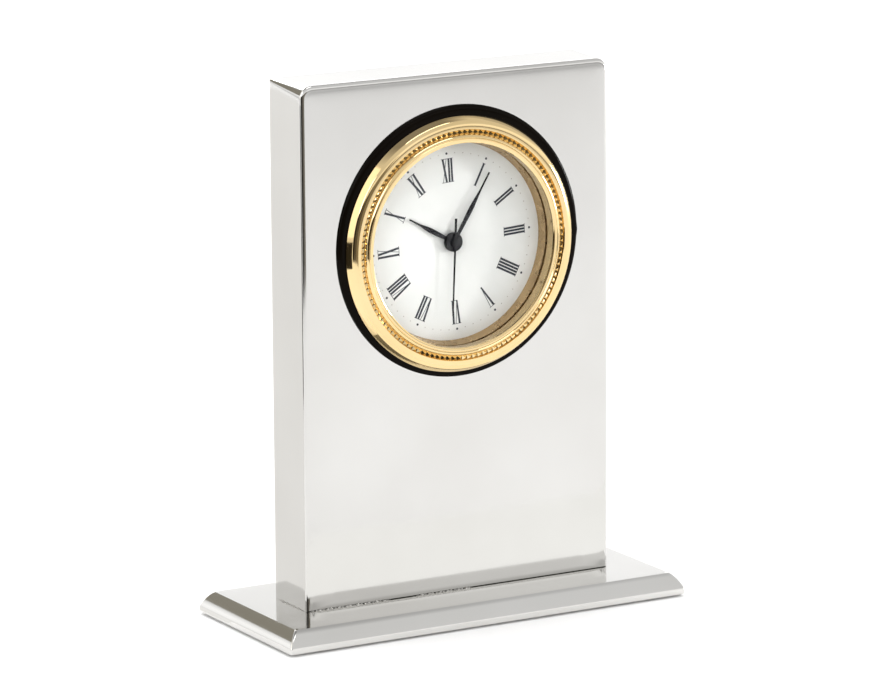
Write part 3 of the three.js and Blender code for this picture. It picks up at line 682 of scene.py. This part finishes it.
def felt_mesh():
    """The felt sheet, with many points round it so that its cut edge can be a little uneven."""
    columns, rows = 150, 60
    width, length = FELT_HIGH.x - FELT_LOW.x, FELT_HIGH.y - FELT_LOW.y
    edge = [(FELT_LOW.x + width * i / columns, FELT_LOW.y) for i in range(columns)]
    edge += [(FELT_HIGH.x, FELT_LOW.y + length * i / rows) for i in range(rows)]
    edge += [(FELT_HIGH.x - width * i / columns, FELT_HIGH.y) for i in range(columns)]
    edge += [(FELT_LOW.x, FELT_HIGH.y - length * i / rows) for i in range(rows)]
    rings = []
    for share, z in ((0.0, 0.0), (0.35, 0.3), (0.5, 0.6), (0.3, 0.9), (0.0, 1.0)):
        ring = []
        for i, (x, y) in enumerate(edge):
            shrink = 0.06 * (1 - share) + 0.05 * share * math.sin(i * 2.7) * math.sin(i * 0.9)
            height = FELT_LOW.z + (FELT_HIGH.z - FELT_LOW.z) * z
            ring.append((x * (1 - shrink / FELT_HIGH.x), y * (1 - shrink / FELT_HIGH.y), height))
        rings.append(ring)
    return capped(rings)


felt = mesh_piece("felt_pad", *felt_mesh(), "case", "felt", FELT, ["base_felt"])


# ---------- back plate and screws ----------
BACK_OPENING = 27.2


def back_plate_mesh():
    """A sheet that fits inside the case's back, with a round opening and softened edges."""
    gap = 0.1
    angles = angles_of(case_outline(WALL + gap, FLOOR + gap))
    front, back = PLATE_LOW.y, PLATE_HIGH.y
    soft = 0.25
    flat = 0.3
    edge = ((0, front), (0, back - soft), (soft / 3, back - soft / 3), (soft, back), (soft + flat, back))
    rings = [ring_of(angles, BACK_OPENING + d, y) for d, y in edge]
    rings += [at_depth(case_outline(WALL + gap + d, FLOOR + gap + d), y) for d, y in reversed(edge)]
    return skin(rings, close=True)


back_plate = mesh_piece(
    "back_plate_panel", *back_plate_mesh(), "case", "polished_nickel", PLATE_NICKEL, ["back_plate"]
)
cut(back_plate, *[bar_y(x, z, PILOT + 0.1, PLATE_LOW.y - 1, PLATE_HIGH.y + 1) for x, z in BACK_SCREWS])

SCREW_TURNS = (0, 38, -55, 80)  # degrees; no two screws stop with their slots alike
for number, (low, high) in enumerate(SCREW_BOXES, start=1):
    x, z = BACK_SCREWS[number - 1]
    radius = (high.x - low.x) / 2
    under = BACK
    section = [
        (0.5, low.y), (PILOT - 0.15, low.y + 0.6), (PILOT - 0.1, under), (radius - 0.1, under),
        (radius, under + 0.12), (radius, under + 0.45), (radius * 0.93, high.y - 0.36),
        (radius * 0.75, high.y - 0.16), (radius * 0.45, high.y - 0.04), (radius * 0.15, high.y),
    ]
    solid = revolved_y(x, z, section, 48)
    stands_for = [f"back_plate_screw_{number}"]
    screw = mesh_piece(f"back_screw_{number}", *solid, "case", "steel", STEEL, stands_for)
    turn = math.radians(SCREW_TURNS[number - 1])
    cut(screw, slot_y(x, z, radius + 0.5, 0.3, turn, high.y - 0.5, high.y + 1))

for side, (low, high) in zip(("left", "right"), BASE_SCREWS):
    x, y = centre(low, high)[:2]
    head = (high.x - low.x) / 2
    shank = head / 2
    head_top = low.z + 2.1
    section = [
        (head * 0.3, low.z), (head * 0.8, low.z + 0.15), (head, low.z + 0.8), (head, head_top - 0.05),
        (shank, head_top), (shank, high.z - 0.8), (shank * 0.5, high.z),
    ]
    solid = revolved_z(x, y, section, 40)
    stands_for = [f"base_screw_{side}"]
    screw = mesh_piece(f"base_screw_{side}_fine", *solid, "case", "steel", STEEL, stands_for)
    under, deep = low.z - 1, low.z + 1
    long, wide = 1.8, 0.35  # half the length and half the width of each arm of the cross recess
    cut(
        screw,
        block((x - long, y - wide, under), (x + long, y + wide, deep)),
        block((x - wide, y - long, under), (x + wide, y + long, deep)),
    )


# ---------- solder along the seam ----------
def wander(t, seed):
    """A smooth, uneven number from 0 to 1 that changes along a line."""
    slow = math.sin(t * 2.1 + seed) + math.sin(t * 5.3 + seed * 2.7)
    waves = slow + 0.7 * math.sin(t * 11.9 + seed * 1.3)
    return 0.5 + waves / 5.4


def solder_line(start, end, thickness, seed):
    """An uneven thread of solder between two points on the joint of the case and the base."""
    steps = 160
    direction = (Vector(end) - Vector(start)).normalized()
    side = direction.cross(Vector((0, 0, 1)))
    rings = []
    for i in range(steps + 1):
        t = i / steps
        middle = Vector(start).lerp(Vector(end), t)
        length = (Vector(end) - Vector(start)).length * t
        taper = min(1.0, t * 12, (1 - t) * 12)
        radius = 0.02 + thickness * taper * max(0.0, wander(length, seed) - 0.25)
        ring = []
        for j in range(8):
            a = TAU * j / 8
            rise = Vector((0, 0, radius * 0.8 * math.sin(a)))
            ring.append(tuple(middle + side * radius * math.cos(a) + rise))
        rings.append(ring)
    return capped(rings)


SEAM_Z = BASE_HIGH.z + 0.06
SEAM_Y = FACE - 0.02
SEAM_X = CASE_LOW.x - 0.02
solder_parts = joined(
    solder_line((-47.6, SEAM_Y, SEAM_Z), (-22, SEAM_Y, SEAM_Z), 0.42, 1.0),
    solder_line((-14, SEAM_Y, SEAM_Z), (4, SEAM_Y, SEAM_Z), 0.32, 4.0),
    solder_line((SEAM_X, FACE + 1.5, SEAM_Z), (SEAM_X, BACK - 2.5, SEAM_Z), 0.50, 7.0),
)
mesh_piece("seam_solder", *solder_parts, "case", "polished_nickel", SOLDER)


# ---------- insert case and grip ring ----------
FLANGE_RISE = 0.75
GATE_ANGLE = math.radians(94)  # the moulding gate's bulge on the flange's edge, clockwise from twelve
GATE_WIDTH = 0.035  # radians


def flange_mesh():
    """The black flange: centred a little above the dial, with a soft edge and the trace of its gate."""
    x0, z0 = FLANGE_RISE * math.sin(DIAL_TILT), FLANGE_RISE * math.cos(DIAL_TILT)
    edge = [(2.5, 0), (1.7, 0.02), (1.1, 0.06), (0.6, 0.16), (0.25, 0.33), (0.06, 0.55), (0, 0.75)]
    section = [(30.0, -0.02), (30.0, -FLANGE_THICKNESS)]
    section += [(FLANGE_RADIUS - inset, -FLANGE_THICKNESS + drop) for inset, drop in edge]
    section += [(FLANGE_RADIUS - 0.02, -0.10), (FLANGE_RADIUS - 0.15, -0.02)]
    rings = []
    for radius, depth in section:
        ring = []
        for i in range(256):
            angle = TAU * i / 256
            swell = 0.0
            if radius > FLANGE_RADIUS - 1:
                swell = 0.22 * math.exp(-(((angle - GATE_ANGLE) / GATE_WIDTH) ** 2))
            r = radius + swell
            ring.append(on_dial(x0 + r * math.sin(angle), depth, z0 + r * math.cos(angle)))
        rings.append(ring)
    return skin(rings, close=True)


barrel_section = [
    (BARREL_BORE, -FLANGE_THICKNESS), (BARREL_RADIUS, -FLANGE_THICKNESS),
    (BARREL_RADIUS, COVER_FRONT - 0.4), (BARREL_RADIUS - 0.15, COVER_FRONT - 0.02),
    (BARREL_BORE + 0.1, COVER_FRONT - 0.02), (BARREL_BORE, COVER_FRONT - 0.15),
]
cup_parts = joined(flange_mesh(), turned(barrel_section, ROUND))
mesh_piece("insert_cup", *cup_parts, "insert", "black_plastic", BLACK_PLASTIC, ["insert_case"])


def grip_ring_section():
    """A rubber band with three soft ribs round it."""
    inner, outer = BARREL_RADIUS + 0.05, INSERT_HOLE - 0.14
    front, back = 0.15, 1.85
    section = [(inner, front)]
    steps = 24
    ribs = 3
    rib_height = 0.22
    for i in range(steps + 1):
        t = i / steps
        rib = 0.5 - 0.5 * math.cos(TAU * ribs * t)
        section.append((outer - rib_height + rib_height * rib, front + (back - front) * t))
    section.append((inner, back))
    return section


grip_parts = turned(grip_ring_section(), 160)
mesh_piece("grip_band", *grip_parts, "insert", "rubber", RUBBER, ["insert_grip_ring"])


# ---------- bezel ----------
BEADS = 120
BEAD_INNER = 30.98
BEAD_OUTER = 32.15
BEAD_TOP = -3.52
BEAD_SEAT = -2.95
BEZEL_RADIUS = 35.8
CREST_RADIUS = 34.7
CREST = -3.5
LIP = -4.0
OPENING = 28.5
BEZEL_FOOT = -FLANGE_THICKNESS - 0.02


def bezel_mesh():
    """A gilt ring: a steep flank, a broad band, a row of small pyramids, a lip and a straight wall."""
    band = [(DIAL_RADIUS, BEZEL_FOOT), (BEZEL_RADIUS - 0.1, BEZEL_FOOT)]
    band.append((BEZEL_RADIUS, -FLANGE_THICKNESS - 0.12))
    flank_low, flank_high = -1.45, CREST + 0.45
    for i in range(9):
        t = i / 8
        bulge = 0.05 * math.sin(math.pi * t)
        reach = BEZEL_RADIUS + (CREST_RADIUS - BEZEL_RADIUS) * t + bulge
        band.append((reach, flank_low + (flank_high - flank_low) * t))
    steps = 14
    dome = 0.54
    for i in range(1, steps + 1):
        t = i / steps
        reach = CREST_RADIUS + (BEAD_OUTER + 0.14 - CREST_RADIUS) * t
        band.append((reach, flank_high - dome * (1 - (1 - t) ** 2.6)))
    band += [(BEAD_OUTER + 0.05, CREST + 0.03), (BEAD_OUTER + 0.02, BEAD_SEAT - 0.12)]
    lip = [
        (30.95, BEAD_SEAT - 0.12), (30.84, -3.36), (30.66, -3.62), (30.42, -3.85), (30.16, LIP + 0.03),
        (30.00, LIP), (29.86, -3.88), (29.78, -3.74), (29.70, -3.74), (29.62, -3.80), (29.20, -3.80),
        (28.80, -3.74), (28.60, -3.62), (OPENING, -3.40),
    ]
    wall = [(OPENING, depth) for depth in (-2.6, -1.7, -0.9, -0.46)]
    wall += [(OPENING + 0.04, -0.36), (DIAL_RADIUS, -0.36)]
    count = 2 * BEADS
    rows = [around(radius, depth, count) for radius, depth in band]
    outer_row = len(rows)
    rows.append(around(BEAD_OUTER, BEAD_SEAT, count))
    radius = (BEAD_INNER + BEAD_OUTER) / 2
    tops, valleys = around(radius, BEAD_TOP, count), around(radius, BEAD_SEAT, count)
    rows.append([valleys[i] if i % 2 else tops[i] for i in range(count)])
    rows.append(around(BEAD_INNER, BEAD_SEAT, count))
    rows += [around(radius, depth, count) for radius, depth in lip + wall]
    points = [p for row in rows for p in row]
    faces = []
    for r in range(len(rows)):
        here, there = r * count, ((r + 1) % len(rows)) * count
        for i in range(count):
            j = (i + 1) % count
            corners = (here + i, here + j, there + j, there + i)
            if r not in (outer_row, outer_row + 1):
                faces.append(corners)
                continue
            # A bead's quads are split towards its top, so that its four sides stay flat.
            rising = (i % 2 == 0) == (r == outer_row)
            split = (there + i, here + j) if rising else (here + i, there + j)
            for other in corners:
                if other not in split:
                    faces.append(tuple(c for c in corners if c in (*split, other)))
    return points, faces


bezel = mesh_piece("bezel_ring", *bezel_mesh(), "insert", "gilt", GILT, ["bezel"], sharp=24)
bezel.data.materials.append(GILT_WALL_PAINTED_SHADE)
bezel.data.materials.append(GILT_PAINTED_SHADE)
WALL_INDEX, SHADE_INDEX = 1, 2
for face in bezel.data.polygons:
    out = (face.center - Vector((DIAL_X, 0, DIAL_Z)) * MM) / MM
    reach = math.hypot(out.x, out.z)
    sideways = (face.normal.z * out.x - face.normal.x * out.z) / reach
    if len(face.vertices) == 3 and sideways > 0.2:
        # One side of each bead gets a near-black gilt: painted shade standing in for the dark
        # reflections on those facets.
        face.material_index = SHADE_INDEX
    elif reach < OPENING + 0.02:
        # The wall inside the lip is spun, not buffed, and its gilt is darker: painted shade for the dim
        # recess.
        face.material_index = WALL_INDEX


# ---------- lens, reflector ring and dial ----------
lens_parts = turned(disc_section(LENS_RADIUS, LENS_FRONT, LENS_BACK, 0.12), ROUND)
mesh_piece("lens_disc", *lens_parts, "insert", "lens_glass", LENS, ["lens"], sharp=50)

reflector_section = [
    (DIAL_RADIUS, LENS_BACK + 0.03), (28.55, LENS_BACK + 0.03), (28.48, LENS_BACK + 0.12), (28.1, 2.0),
    (27.72, DIAL_FRONT - 0.25), (27.62, DIAL_FRONT - 0.05), (DIAL_RADIUS, DIAL_FRONT - 0.05),
]
band_parts = turned(reflector_section, ROUND)
mesh_piece("reflector_band", *band_parts, "insert", "gilt", REFLECTOR_GILT_PAINTED_SHADE, ["reflector_ring"])

DIAL_HOLE = 1.9
dial_section = [
    (DIAL_HOLE, DIAL_FRONT + 0.05), (DIAL_HOLE + 0.1, DIAL_FRONT), (DIAL_RADIUS - 0.1, DIAL_FRONT),
    (DIAL_RADIUS, DIAL_FRONT + 0.08), (DIAL_RADIUS, DIAL_BACK), (DIAL_HOLE, DIAL_BACK),
]
mesh_piece("dial_disc", *turned(dial_section, ROUND), "insert", "dial_white", DIAL, ["dial"])

INK_FRONT = DIAL_FRONT - 0.03
INK_BACK = DIAL_FRONT + 0.01
NUMERAL_IN = 16.6
NUMERAL_OUT = 23.3
STROKE = 0.60
THICK = 0.62
THIN = 0.16
GAP = 0.25
SERIF = 0.14
SERIF_OUT = 0.22
WIDE = 1.6
DOT_CIRCLE = 24.7
NUMERALS = ("XII", "I", "II", "III", "IIII", "V", "VI", "VII", "VIII", "IX", "X", "XI")


def stroke(x0, y0, x1, y1, width0, width1=None):
    """A straight stroke from one point to another, square across its ends along x."""
    half0 = width0 / 2
    half1 = half0 if width1 is None else width1 / 2
    return [(x0 - half0, y0), (x1 - half1, y1), (x1 + half1, y1), (x0 + half0, y0)]


def numeral_shapes(letters):
    """Outlines of one Roman numeral, centred on x = 0, with y from 0 at its foot to its height."""
    widths = [STROKE if letter == "I" else WIDE for letter in letters]
    total = sum(widths) + GAP * (len(letters) - 1)
    height = NUMERAL_OUT - NUMERAL_IN
    x = -total / 2
    shapes = []
    for letter, width in zip(letters, widths):
        left, right, middle = x, x + width, x + width / 2
        if letter == "I":
            shapes.append(stroke(middle, 0, middle, height, STROKE))
        elif letter == "V":
            shapes.append(stroke(left + 0.3, height, middle + 0.02, 0, THICK, 0.45))
            shapes.append(stroke(right - THIN, height, middle + 0.06, 0, THIN))
        else:
            shapes.append(stroke(left + 0.3, height, right - 0.3, 0, THICK))
            shapes.append(stroke(right - THIN, height, left + THIN, 0, THIN))
        x = right + GAP
    start, end = -total / 2 - SERIF_OUT, total / 2 + SERIF_OUT
    shapes.append([(start, height), (start, height - SERIF), (end, height - SERIF), (end, height)])
    foot_start = start if letters[0] != "V" else -total / 2 + WIDE / 2 - 0.2
    foot_end = end if letters[-1] != "V" else total / 2 - WIDE / 2 + 0.3
    shapes.append([(foot_start, SERIF), (foot_start, 0), (foot_end, 0), (foot_end, SERIF)])
    return shapes


def numeral_outlines():
    outlines = []
    for hour, letters in enumerate(NUMERALS):
        angle = TAU * hour / 12
        cos, sin = math.cos(angle), math.sin(angle)
        for shape in numeral_shapes(letters):
            placed = [(x, NUMERAL_IN + y) for x, y in shape]
            outlines.append([(x * cos + r * sin, r * cos - x * sin) for x, r in placed])
    return outlines


def dot_outline(radius, angle, size, sides):
    x, z = radius * math.sin(angle), radius * math.cos(angle)
    turns = [TAU * i / sides for i in range(sides)]
    return [(x + size * math.sin(a), z + size * math.cos(a)) for a in turns]


# Strokes that cross are printed at slightly different heights, so that no two faces coincide.
INK_STEP = 0.0015
numeral_layers = []
for i, outline in enumerate(numeral_outlines()):
    numeral_layers.append(prism([outline], INK_FRONT - INK_STEP * (i % 7), INK_BACK))
mesh_piece("dial_numerals", *joined(*numeral_layers), "insert", "hand_black", INK)
hour_dots = [dot_outline(DOT_CIRCLE, TAU * i / 12, 0.33, 20) for i in range(12)]
minute_dots = [dot_outline(DOT_CIRCLE, TAU * i / 60, 0.15, 14) for i in range(60) if i % 5]
for name, dots, ink in (("dial_hour_dots", hour_dots, INK), ("dial_minute_dots", minute_dots, DOT_INK)):
    mesh_piece(name, *prism(dots, INK_FRONT, INK_BACK), "insert", "hand_black", ink)


# ---------- hands ----------
HUB_RADIUS = 2.65


def hand_blade(profile, clockwise, front, back, edge=0.05):
    """A flat blade with softened edges; profile is (distance from the centre, half-width)."""
    cos, sin = math.cos(clockwise), math.sin(clockwise)

    def ring(inset, depth):
        upper = [(along, max(half - inset, 0.02)) for along, half in profile]
        first, last = upper[0], upper[-1]
        upper[0] = (first[0] + math.copysign(inset, last[0] - first[0]), first[1])
        upper[-1] = (last[0] - math.copysign(inset, last[0] - first[0]), last[1])
        outline = upper + [(along, -half) for along, half in reversed(upper)]
        return [on_dial(a * sin + w * cos, depth, a * cos - w * sin) for a, w in outline]

    soft = edge * 0.3
    return capped([ring(edge, front), ring(soft, front + soft), ring(0, front + edge), ring(0, back)])


def hub_section(bore, front, back, radius=HUB_RADIUS):
    """A pressed hub with a rounded edge, slightly dished round its bore."""
    return [
        (bore, back), (bore, front + 0.10), (bore + 0.12, front + 0.03), (radius * 0.62, front + 0.03),
        (radius * 0.80, front), (radius - 0.16, front + 0.02), (radius - 0.05, front + 0.08),
        (radius, front + 0.2), (radius, back - 0.05), (radius - 0.05, back),
    ]


def lance(start, length, widest, needle):
    """Half-widths of a slim lance: it swells towards its middle, then narrows to a squared needle."""
    profile = []
    swelling = [(0.0, 0.70), (0.15, 0.80), (0.30, 0.93), (0.40, 1.0)]
    narrowing = [(0.48, 0.97), (0.56, 0.80), (0.64, 0.58), (0.72, 0.42)]
    for t, share in swelling + narrowing:
        profile.append((start + (length - start) * t, widest * share))
    profile.append((start + (length - start) * 0.8, needle * 1.15))
    profile.append((length, needle))
    return profile


HOUR_ANGLE = math.radians(302.5)
MINUTE_ANGLE = math.radians(35)
SECOND_ANGLE = math.radians(186)

hour_parts = joined(
    hand_blade(lance(1.75, 15.5, 0.72, 0.22), HOUR_ANGLE, 2.72, 2.94),
    turned(hub_section(1.62, 2.6, 3.15), 96),
)
mesh_piece("hour_hand_fine", *hour_parts, "hours", "hand_black", HAND_BLACK, ["hour_hand"])

minute_parts = joined(
    hand_blade(lance(1.1, 21.7, 0.68, 0.22), MINUTE_ANGLE, 1.98, 2.2),
    turned(hub_section(0.97, 1.84, 2.5), 96),
)
mesh_piece("minute_hand_fine", *minute_parts, "minutes", "hand_black", HAND_BLACK, ["minute_hand"])

second_cap = [
    (0, 0.98), (0.35, 0.99), (0.62, 1.03), (0.70, 1.09), (0.78, 1.03), (1.0, 1.05), (1.12, 1.13),
    (1.15, 1.25), (1.15, 1.70), (1.12, 1.72), (0.48, 1.72), (0.48, 1.11), (0, 1.11),
]
pointer = [(0.62, 0.30), (8, 0.27), (20.5, 0.20)]
counter_tail = [(-0.62, 0.30), (-2.6, 0.33), (-6.7, 0.36)]
second_parts = joined(
    hand_blade(pointer, SECOND_ANGLE, 1.36, 1.52, 0.04),
    hand_blade(counter_tail, SECOND_ANGLE, 1.36, 1.52, 0.04),
    turned(second_cap, 64),
)
mesh_piece("second_hand_fine", *second_parts, "seconds", "hand_black", HAND_BLACK, ["second_hand"])


# ---------- the insert's back ----------
KNOB_X, KNOB_Z = centre(KNOB_LOW, KNOB_HIGH)[::2]
DOOR_X, DOOR_Z = centre(DOOR_LOW, DOOR_HIGH)[::2]
DOOR_RADIUS = 7.0

cover_section = [
    (0, COVER_FRONT), (BARREL_RADIUS - 0.1, COVER_FRONT), (BARREL_RADIUS, COVER_FRONT + 0.1),
    (BARREL_RADIUS, COVER_BACK - 0.4), (BARREL_RADIUS - 0.12, COVER_BACK - 0.12),
    (BARREL_RADIUS - 0.4, COVER_BACK), (BARREL_RADIUS - 1.9, COVER_BACK),
    (BARREL_RADIUS - 2.2, COVER_BACK - 0.2), (BARREL_RADIUS - 2.6, COVER_BACK - 0.2),
    (BARREL_RADIUS - 2.9, COVER_BACK - 0.05), (0, COVER_BACK - 0.05),
]
cover_parts = turned(cover_section, 160)
cover = mesh_piece(
    "back_cover_disc", *cover_parts, "insert", "black_plastic", BLACK_SATIN, ["insert_cover"]
)
cover_front_y, cover_back_y = FACE + COVER_FRONT, FACE + COVER_BACK
cut(
    cover,
    bar_y(KNOB_X, KNOB_Z, 1.06, cover_front_y - 1, cover_back_y + 1, 40),
    bar_y(DOOR_X, DOOR_Z, DOOR_RADIUS + 0.06, cover_front_y - 1, cover_back_y + 1, 72),
)

door_section = [
    (DOOR_RADIUS * 0.3, cover_front_y + 0.1), (DOOR_RADIUS - 0.05, cover_front_y + 0.1),
    (DOOR_RADIUS, cover_front_y + 0.15), (DOOR_RADIUS, cover_back_y - 0.2),
    (DOOR_RADIUS - 0.06, cover_back_y - 0.06), (DOOR_RADIUS - 0.2, cover_back_y),
    (DOOR_RADIUS * 0.3, cover_back_y),
]
door_parts = revolved_y(DOOR_X, DOOR_Z, door_section, 72)
door = mesh_piece(
    "battery_door_disc", *door_parts, "battery_door", "black_plastic", BLACK_SATIN, ["battery_door"]
)
coin_slot = slot_y(DOOR_X, DOOR_Z, 4.5, 0.6, DIAL_TILT, cover_back_y - 0.6, cover_back_y + 1)
cut(door, coin_slot)


def knob_mesh():
    """A finger knob with notches round its rim and a shallow dish in its end."""
    radius = 5.0
    notches, notch_depth = 20, 0.28
    front, back = KNOB_LOW.y, KNOB_HIGH.y
    # Each row is a share of the knob's length, a share of its radius and a share of the notches' depth.
    sections = [
        (0.0, 0.35, 0.0), (0.10, 0.92, 0.2), (0.22, 1.0, 1.0), (0.80, 1.0, 1.0), (0.93, 0.97, 0.8),
        (1.0, 0.90, 0.2), (1.0, 0.72, 0.0), (0.90, 0.62, 0.0), (0.88, 0.35, 0.0),
    ]
    rings = []
    count = 320
    for share, size, notch in sections:
        ring = []
        for i in range(count):
            angle = TAU * i / count
            dip = max(0.0, math.cos(angle * notches)) ** 2 * notch_depth * notch
            r = radius * size - dip
            x, z = r * math.sin(angle), r * math.cos(angle)
            ring.append((KNOB_X + x, front + (back - front) * share, KNOB_Z + z))
        rings.append(ring)
    return capped(rings)


knob = mesh_piece(
    "setting_knob_fine", *knob_mesh(), "setting", "black_plastic", BLACK_SATIN, ["setting_knob"]
)
stem_end = box_mm("setting_stem")[1].y
cut(knob, bar_y(KNOB_X, KNOB_Z, 1.02, KNOB_LOW.y - 1, stem_end + 0.02, 32))


# ---------- movement ----------
MOVEMENT_SCREWS = tuple(f"{plate}_plate_screw_{i}" for plate in ("middle", "rear") for i in (1, 2, 3))
MOVEMENT_LOOKS = {
    WHITE_PLASTIC: ("movement_front_plate", "movement_rear_plate", "rotor", "fifth_wheel", "third_wheel")
    + ("minute_wheel", "hour_wheel", "setting_stem"),
    BRASS: ("centre_bush", "movement_middle_plate", "battery_contact_negative")
    + ("battery_contact_positive", "centre_wheel", "cannon_pinion"),
    STEEL: ("stator", "coil_core", "quartz_crystal", "battery", "rotor_magnet", "seconds_wheel")
    + MOVEMENT_SCREWS,
    AMBER_PLASTIC: ("coil_bobbin",),
    WINDING: ("coil_winding",),
    BOARD: ("circuit_board",),
    BLACK_SATIN: ("circuit_chip",),
}
for material, names in MOVEMENT_LOOKS.items():
    for name in names:
        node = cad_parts[name]
        node.data.materials.clear()
        node.data.materials.append(material)


# ---------- room, light and camera ----------
scene = bpy.context.scene


def flat_sheet(name, width, height, material):
    """A flat rectangle in metres, for the floor and the cards that the metal reflects."""
    mesh = bpy.data.meshes.new(name)
    w, h = width / 2, height / 2
    mesh.from_pydata([(-w, -h, 0), (w, -h, 0), (w, h, 0), (-w, h, 0)], [], [(0, 1, 2, 3)])
    mesh.materials.append(material)
    sheet = bpy.data.objects.new(name, mesh)
    scene.collection.objects.link(sheet)
    return sheet


FLOOR_SIZE = 12.0
floor_look = Look("floor_paper", (0.93, 0.93, 0.93), 0.9)
floor_look.tint(floor_look.noise(3, 3), (0.3, (0.92, 0.92, 0.92)), (0.7, (0.94, 0.94, 0.94)))
floor = flat_sheet("floor", FLOOR_SIZE, FLOOR_SIZE, floor_look.material)
floor.location.z = -0.0002

world = bpy.data.worlds.new("studio")
scene.world = world
world.use_nodes = True


def sky():
    """A soft studio surround: bright near the horizon, darker higher up."""
    nodes, links = world.node_tree.nodes, world.node_tree.links
    way = nodes.new("ShaderNodeTexCoord")
    split = nodes.new("ShaderNodeSeparateXYZ")
    ramp = nodes.new("ShaderNodeValToRGB")
    levels = ((0.0, 0.95), (0.20, 1.33), (0.32, 0.80), (0.82, 0.78), (0.95, 0.28))
    fill_ramp(ramp, [(height, (level, level, level)) for height, level in levels])
    links.new(way.outputs["Generated"], split.inputs["Vector"])
    links.new(split.outputs["Z"], ramp.inputs["Fac"])
    links.new(ramp.outputs["Color"], nodes["Background"].inputs["Color"])


sky()


def card(name, middle, aim, width, height, color):
    """A card of an even brightness for the metal to reflect; the camera itself doesn't see it."""
    material = bpy.data.materials.new(name)
    material.use_nodes = True
    shader = material.node_tree.nodes["Principled BSDF"]
    shader.inputs["Base Color"].default_value = (0, 0, 0, 1)
    shader.inputs["Specular IOR Level"].default_value = 0
    shader.inputs["Emission Color"].default_value = (*color, 1)
    shader.inputs["Emission Strength"].default_value = 1
    made = flat_sheet(name, width, height, material)
    made.location = middle
    made.rotation_euler = (Vector(aim) - Vector(middle)).to_track_quat("Z", "Y").to_euler()
    made.visible_camera = False
    made.visible_shadow = False
    made.visible_diffuse = False


def softbox(name, middle, aim, size, power):
    """A rectangular light in metres and watts; the metal mirrors all but the overhead one."""
    data = bpy.data.lights.new(name, "AREA")
    data.shape = "RECTANGLE"
    data.size, data.size_y = size
    data.energy = power
    lamp = bpy.data.objects.new(name, data)
    scene.collection.objects.link(lamp)
    lamp.location = middle
    lamp.rotation_euler = (Vector(aim) - Vector(middle)).to_track_quat("-Z", "Y").to_euler()
    lamp.visible_glossy = name != "overhead"


softbox("overhead", (0.0, 0.40, 1.7), (0, 0.40, 0), (1.6, 1.2), 16)
softbox("front_floor", (0.10, -0.42, 0.95), (0.04, -0.10, 0), (0.5, 0.3), 1.3)
softbox("back_floor", (0.5, 1.6, 1.0), (0.5, 1.3, 0), (1.8, 0.6), 14)
softbox("left_front", (-0.84, -0.64, 0.66), (0, 0, 0.10), (0.35, 0.5), 2.0)
softbox("right_front", (1.32, -0.60, 0.09), (0, 0, 0.10), (0.12, 0.3), 9)
DARK = (0.03, 0.027, 0.022)
FRONT_CARDS = ((-48, DARK), (-31, DARK), (-14, (0.11, 0.10, 0.085)), (2, (0.26, 0.24, 0.20)))
FRONT_REACH = 0.48
for angle, color in FRONT_CARDS:
    way = math.radians(angle)
    place = (FRONT_REACH * math.sin(way), -FRONT_REACH * math.cos(way), 0.11)
    card(f"front_card_{angle + 90}", place, (0, 0, 0.11), 0.145, 0.22, color)
card("table_end", (0, -3.2, 0.14), (0, 0, 0.14), 9, 0.28, (0.35, 0.34, 0.33))
card("dark_back", (-0.37, 0.92, 0.50), (0, 0, 0.0), 0.6, 0.40, (0.31, 0.29, 0.24))
card("near_floor", (0.03, -0.068, 0.001), (0.03, -0.068, 1), 0.24, 0.07, (1.3, 1.3, 1.28))
card("left_window", (-0.86, -0.04, 0.56), (0, 0, 0.10), 0.85, 0.92, (1.6, 1.55, 1.45))
card("left_table_end", (-0.33, -0.02, 0.052), (0, -0.02, 0.052), 0.20, 0.104, DARK)
card("left_floor", (-0.30, 0.46, 0.001), (-0.30, 0.46, 1), 0.50, 0.90, (1.11, 1.10, 1.08))

CAMERA_PLACE = Vector((-0.6986, -1.22125, 0.3761))
CAMERA_YAW = math.radians(29.70)
CAMERA_PITCH = math.radians(-12.14)
CAMERA_ROLL = math.radians(-0.37)
SENSOR_WIDTH = 36
FOCAL_LENGTH = 214
yaw_cos, yaw_sin = math.cos(CAMERA_YAW), math.sin(CAMERA_YAW)
pitch_cos, pitch_sin = math.cos(CAMERA_PITCH), math.sin(CAMERA_PITCH)
ahead = Vector((yaw_sin * pitch_cos, yaw_cos * pitch_cos, pitch_sin))
level = Vector((yaw_cos, -yaw_sin, 0))
upward = level.cross(ahead)
right = level * math.cos(CAMERA_ROLL) + upward * math.sin(CAMERA_ROLL)
up = upward * math.cos(CAMERA_ROLL) - level * math.sin(CAMERA_ROLL)
camera_data = bpy.data.cameras.new("camera")
camera_data.sensor_width = SENSOR_WIDTH
camera_data.lens = FOCAL_LENGTH
camera_data.clip_start = 0.01
camera = bpy.data.objects.new("camera", camera_data)
scene.collection.objects.link(camera)
turn = Matrix((right, up, -ahead)).transposed()
camera.matrix_world = Matrix.Translation(CAMERA_PLACE) @ turn.to_4x4()
scene.camera = camera

scene.view_settings.view_transform = "Standard"
scene.view_settings.look = "None"
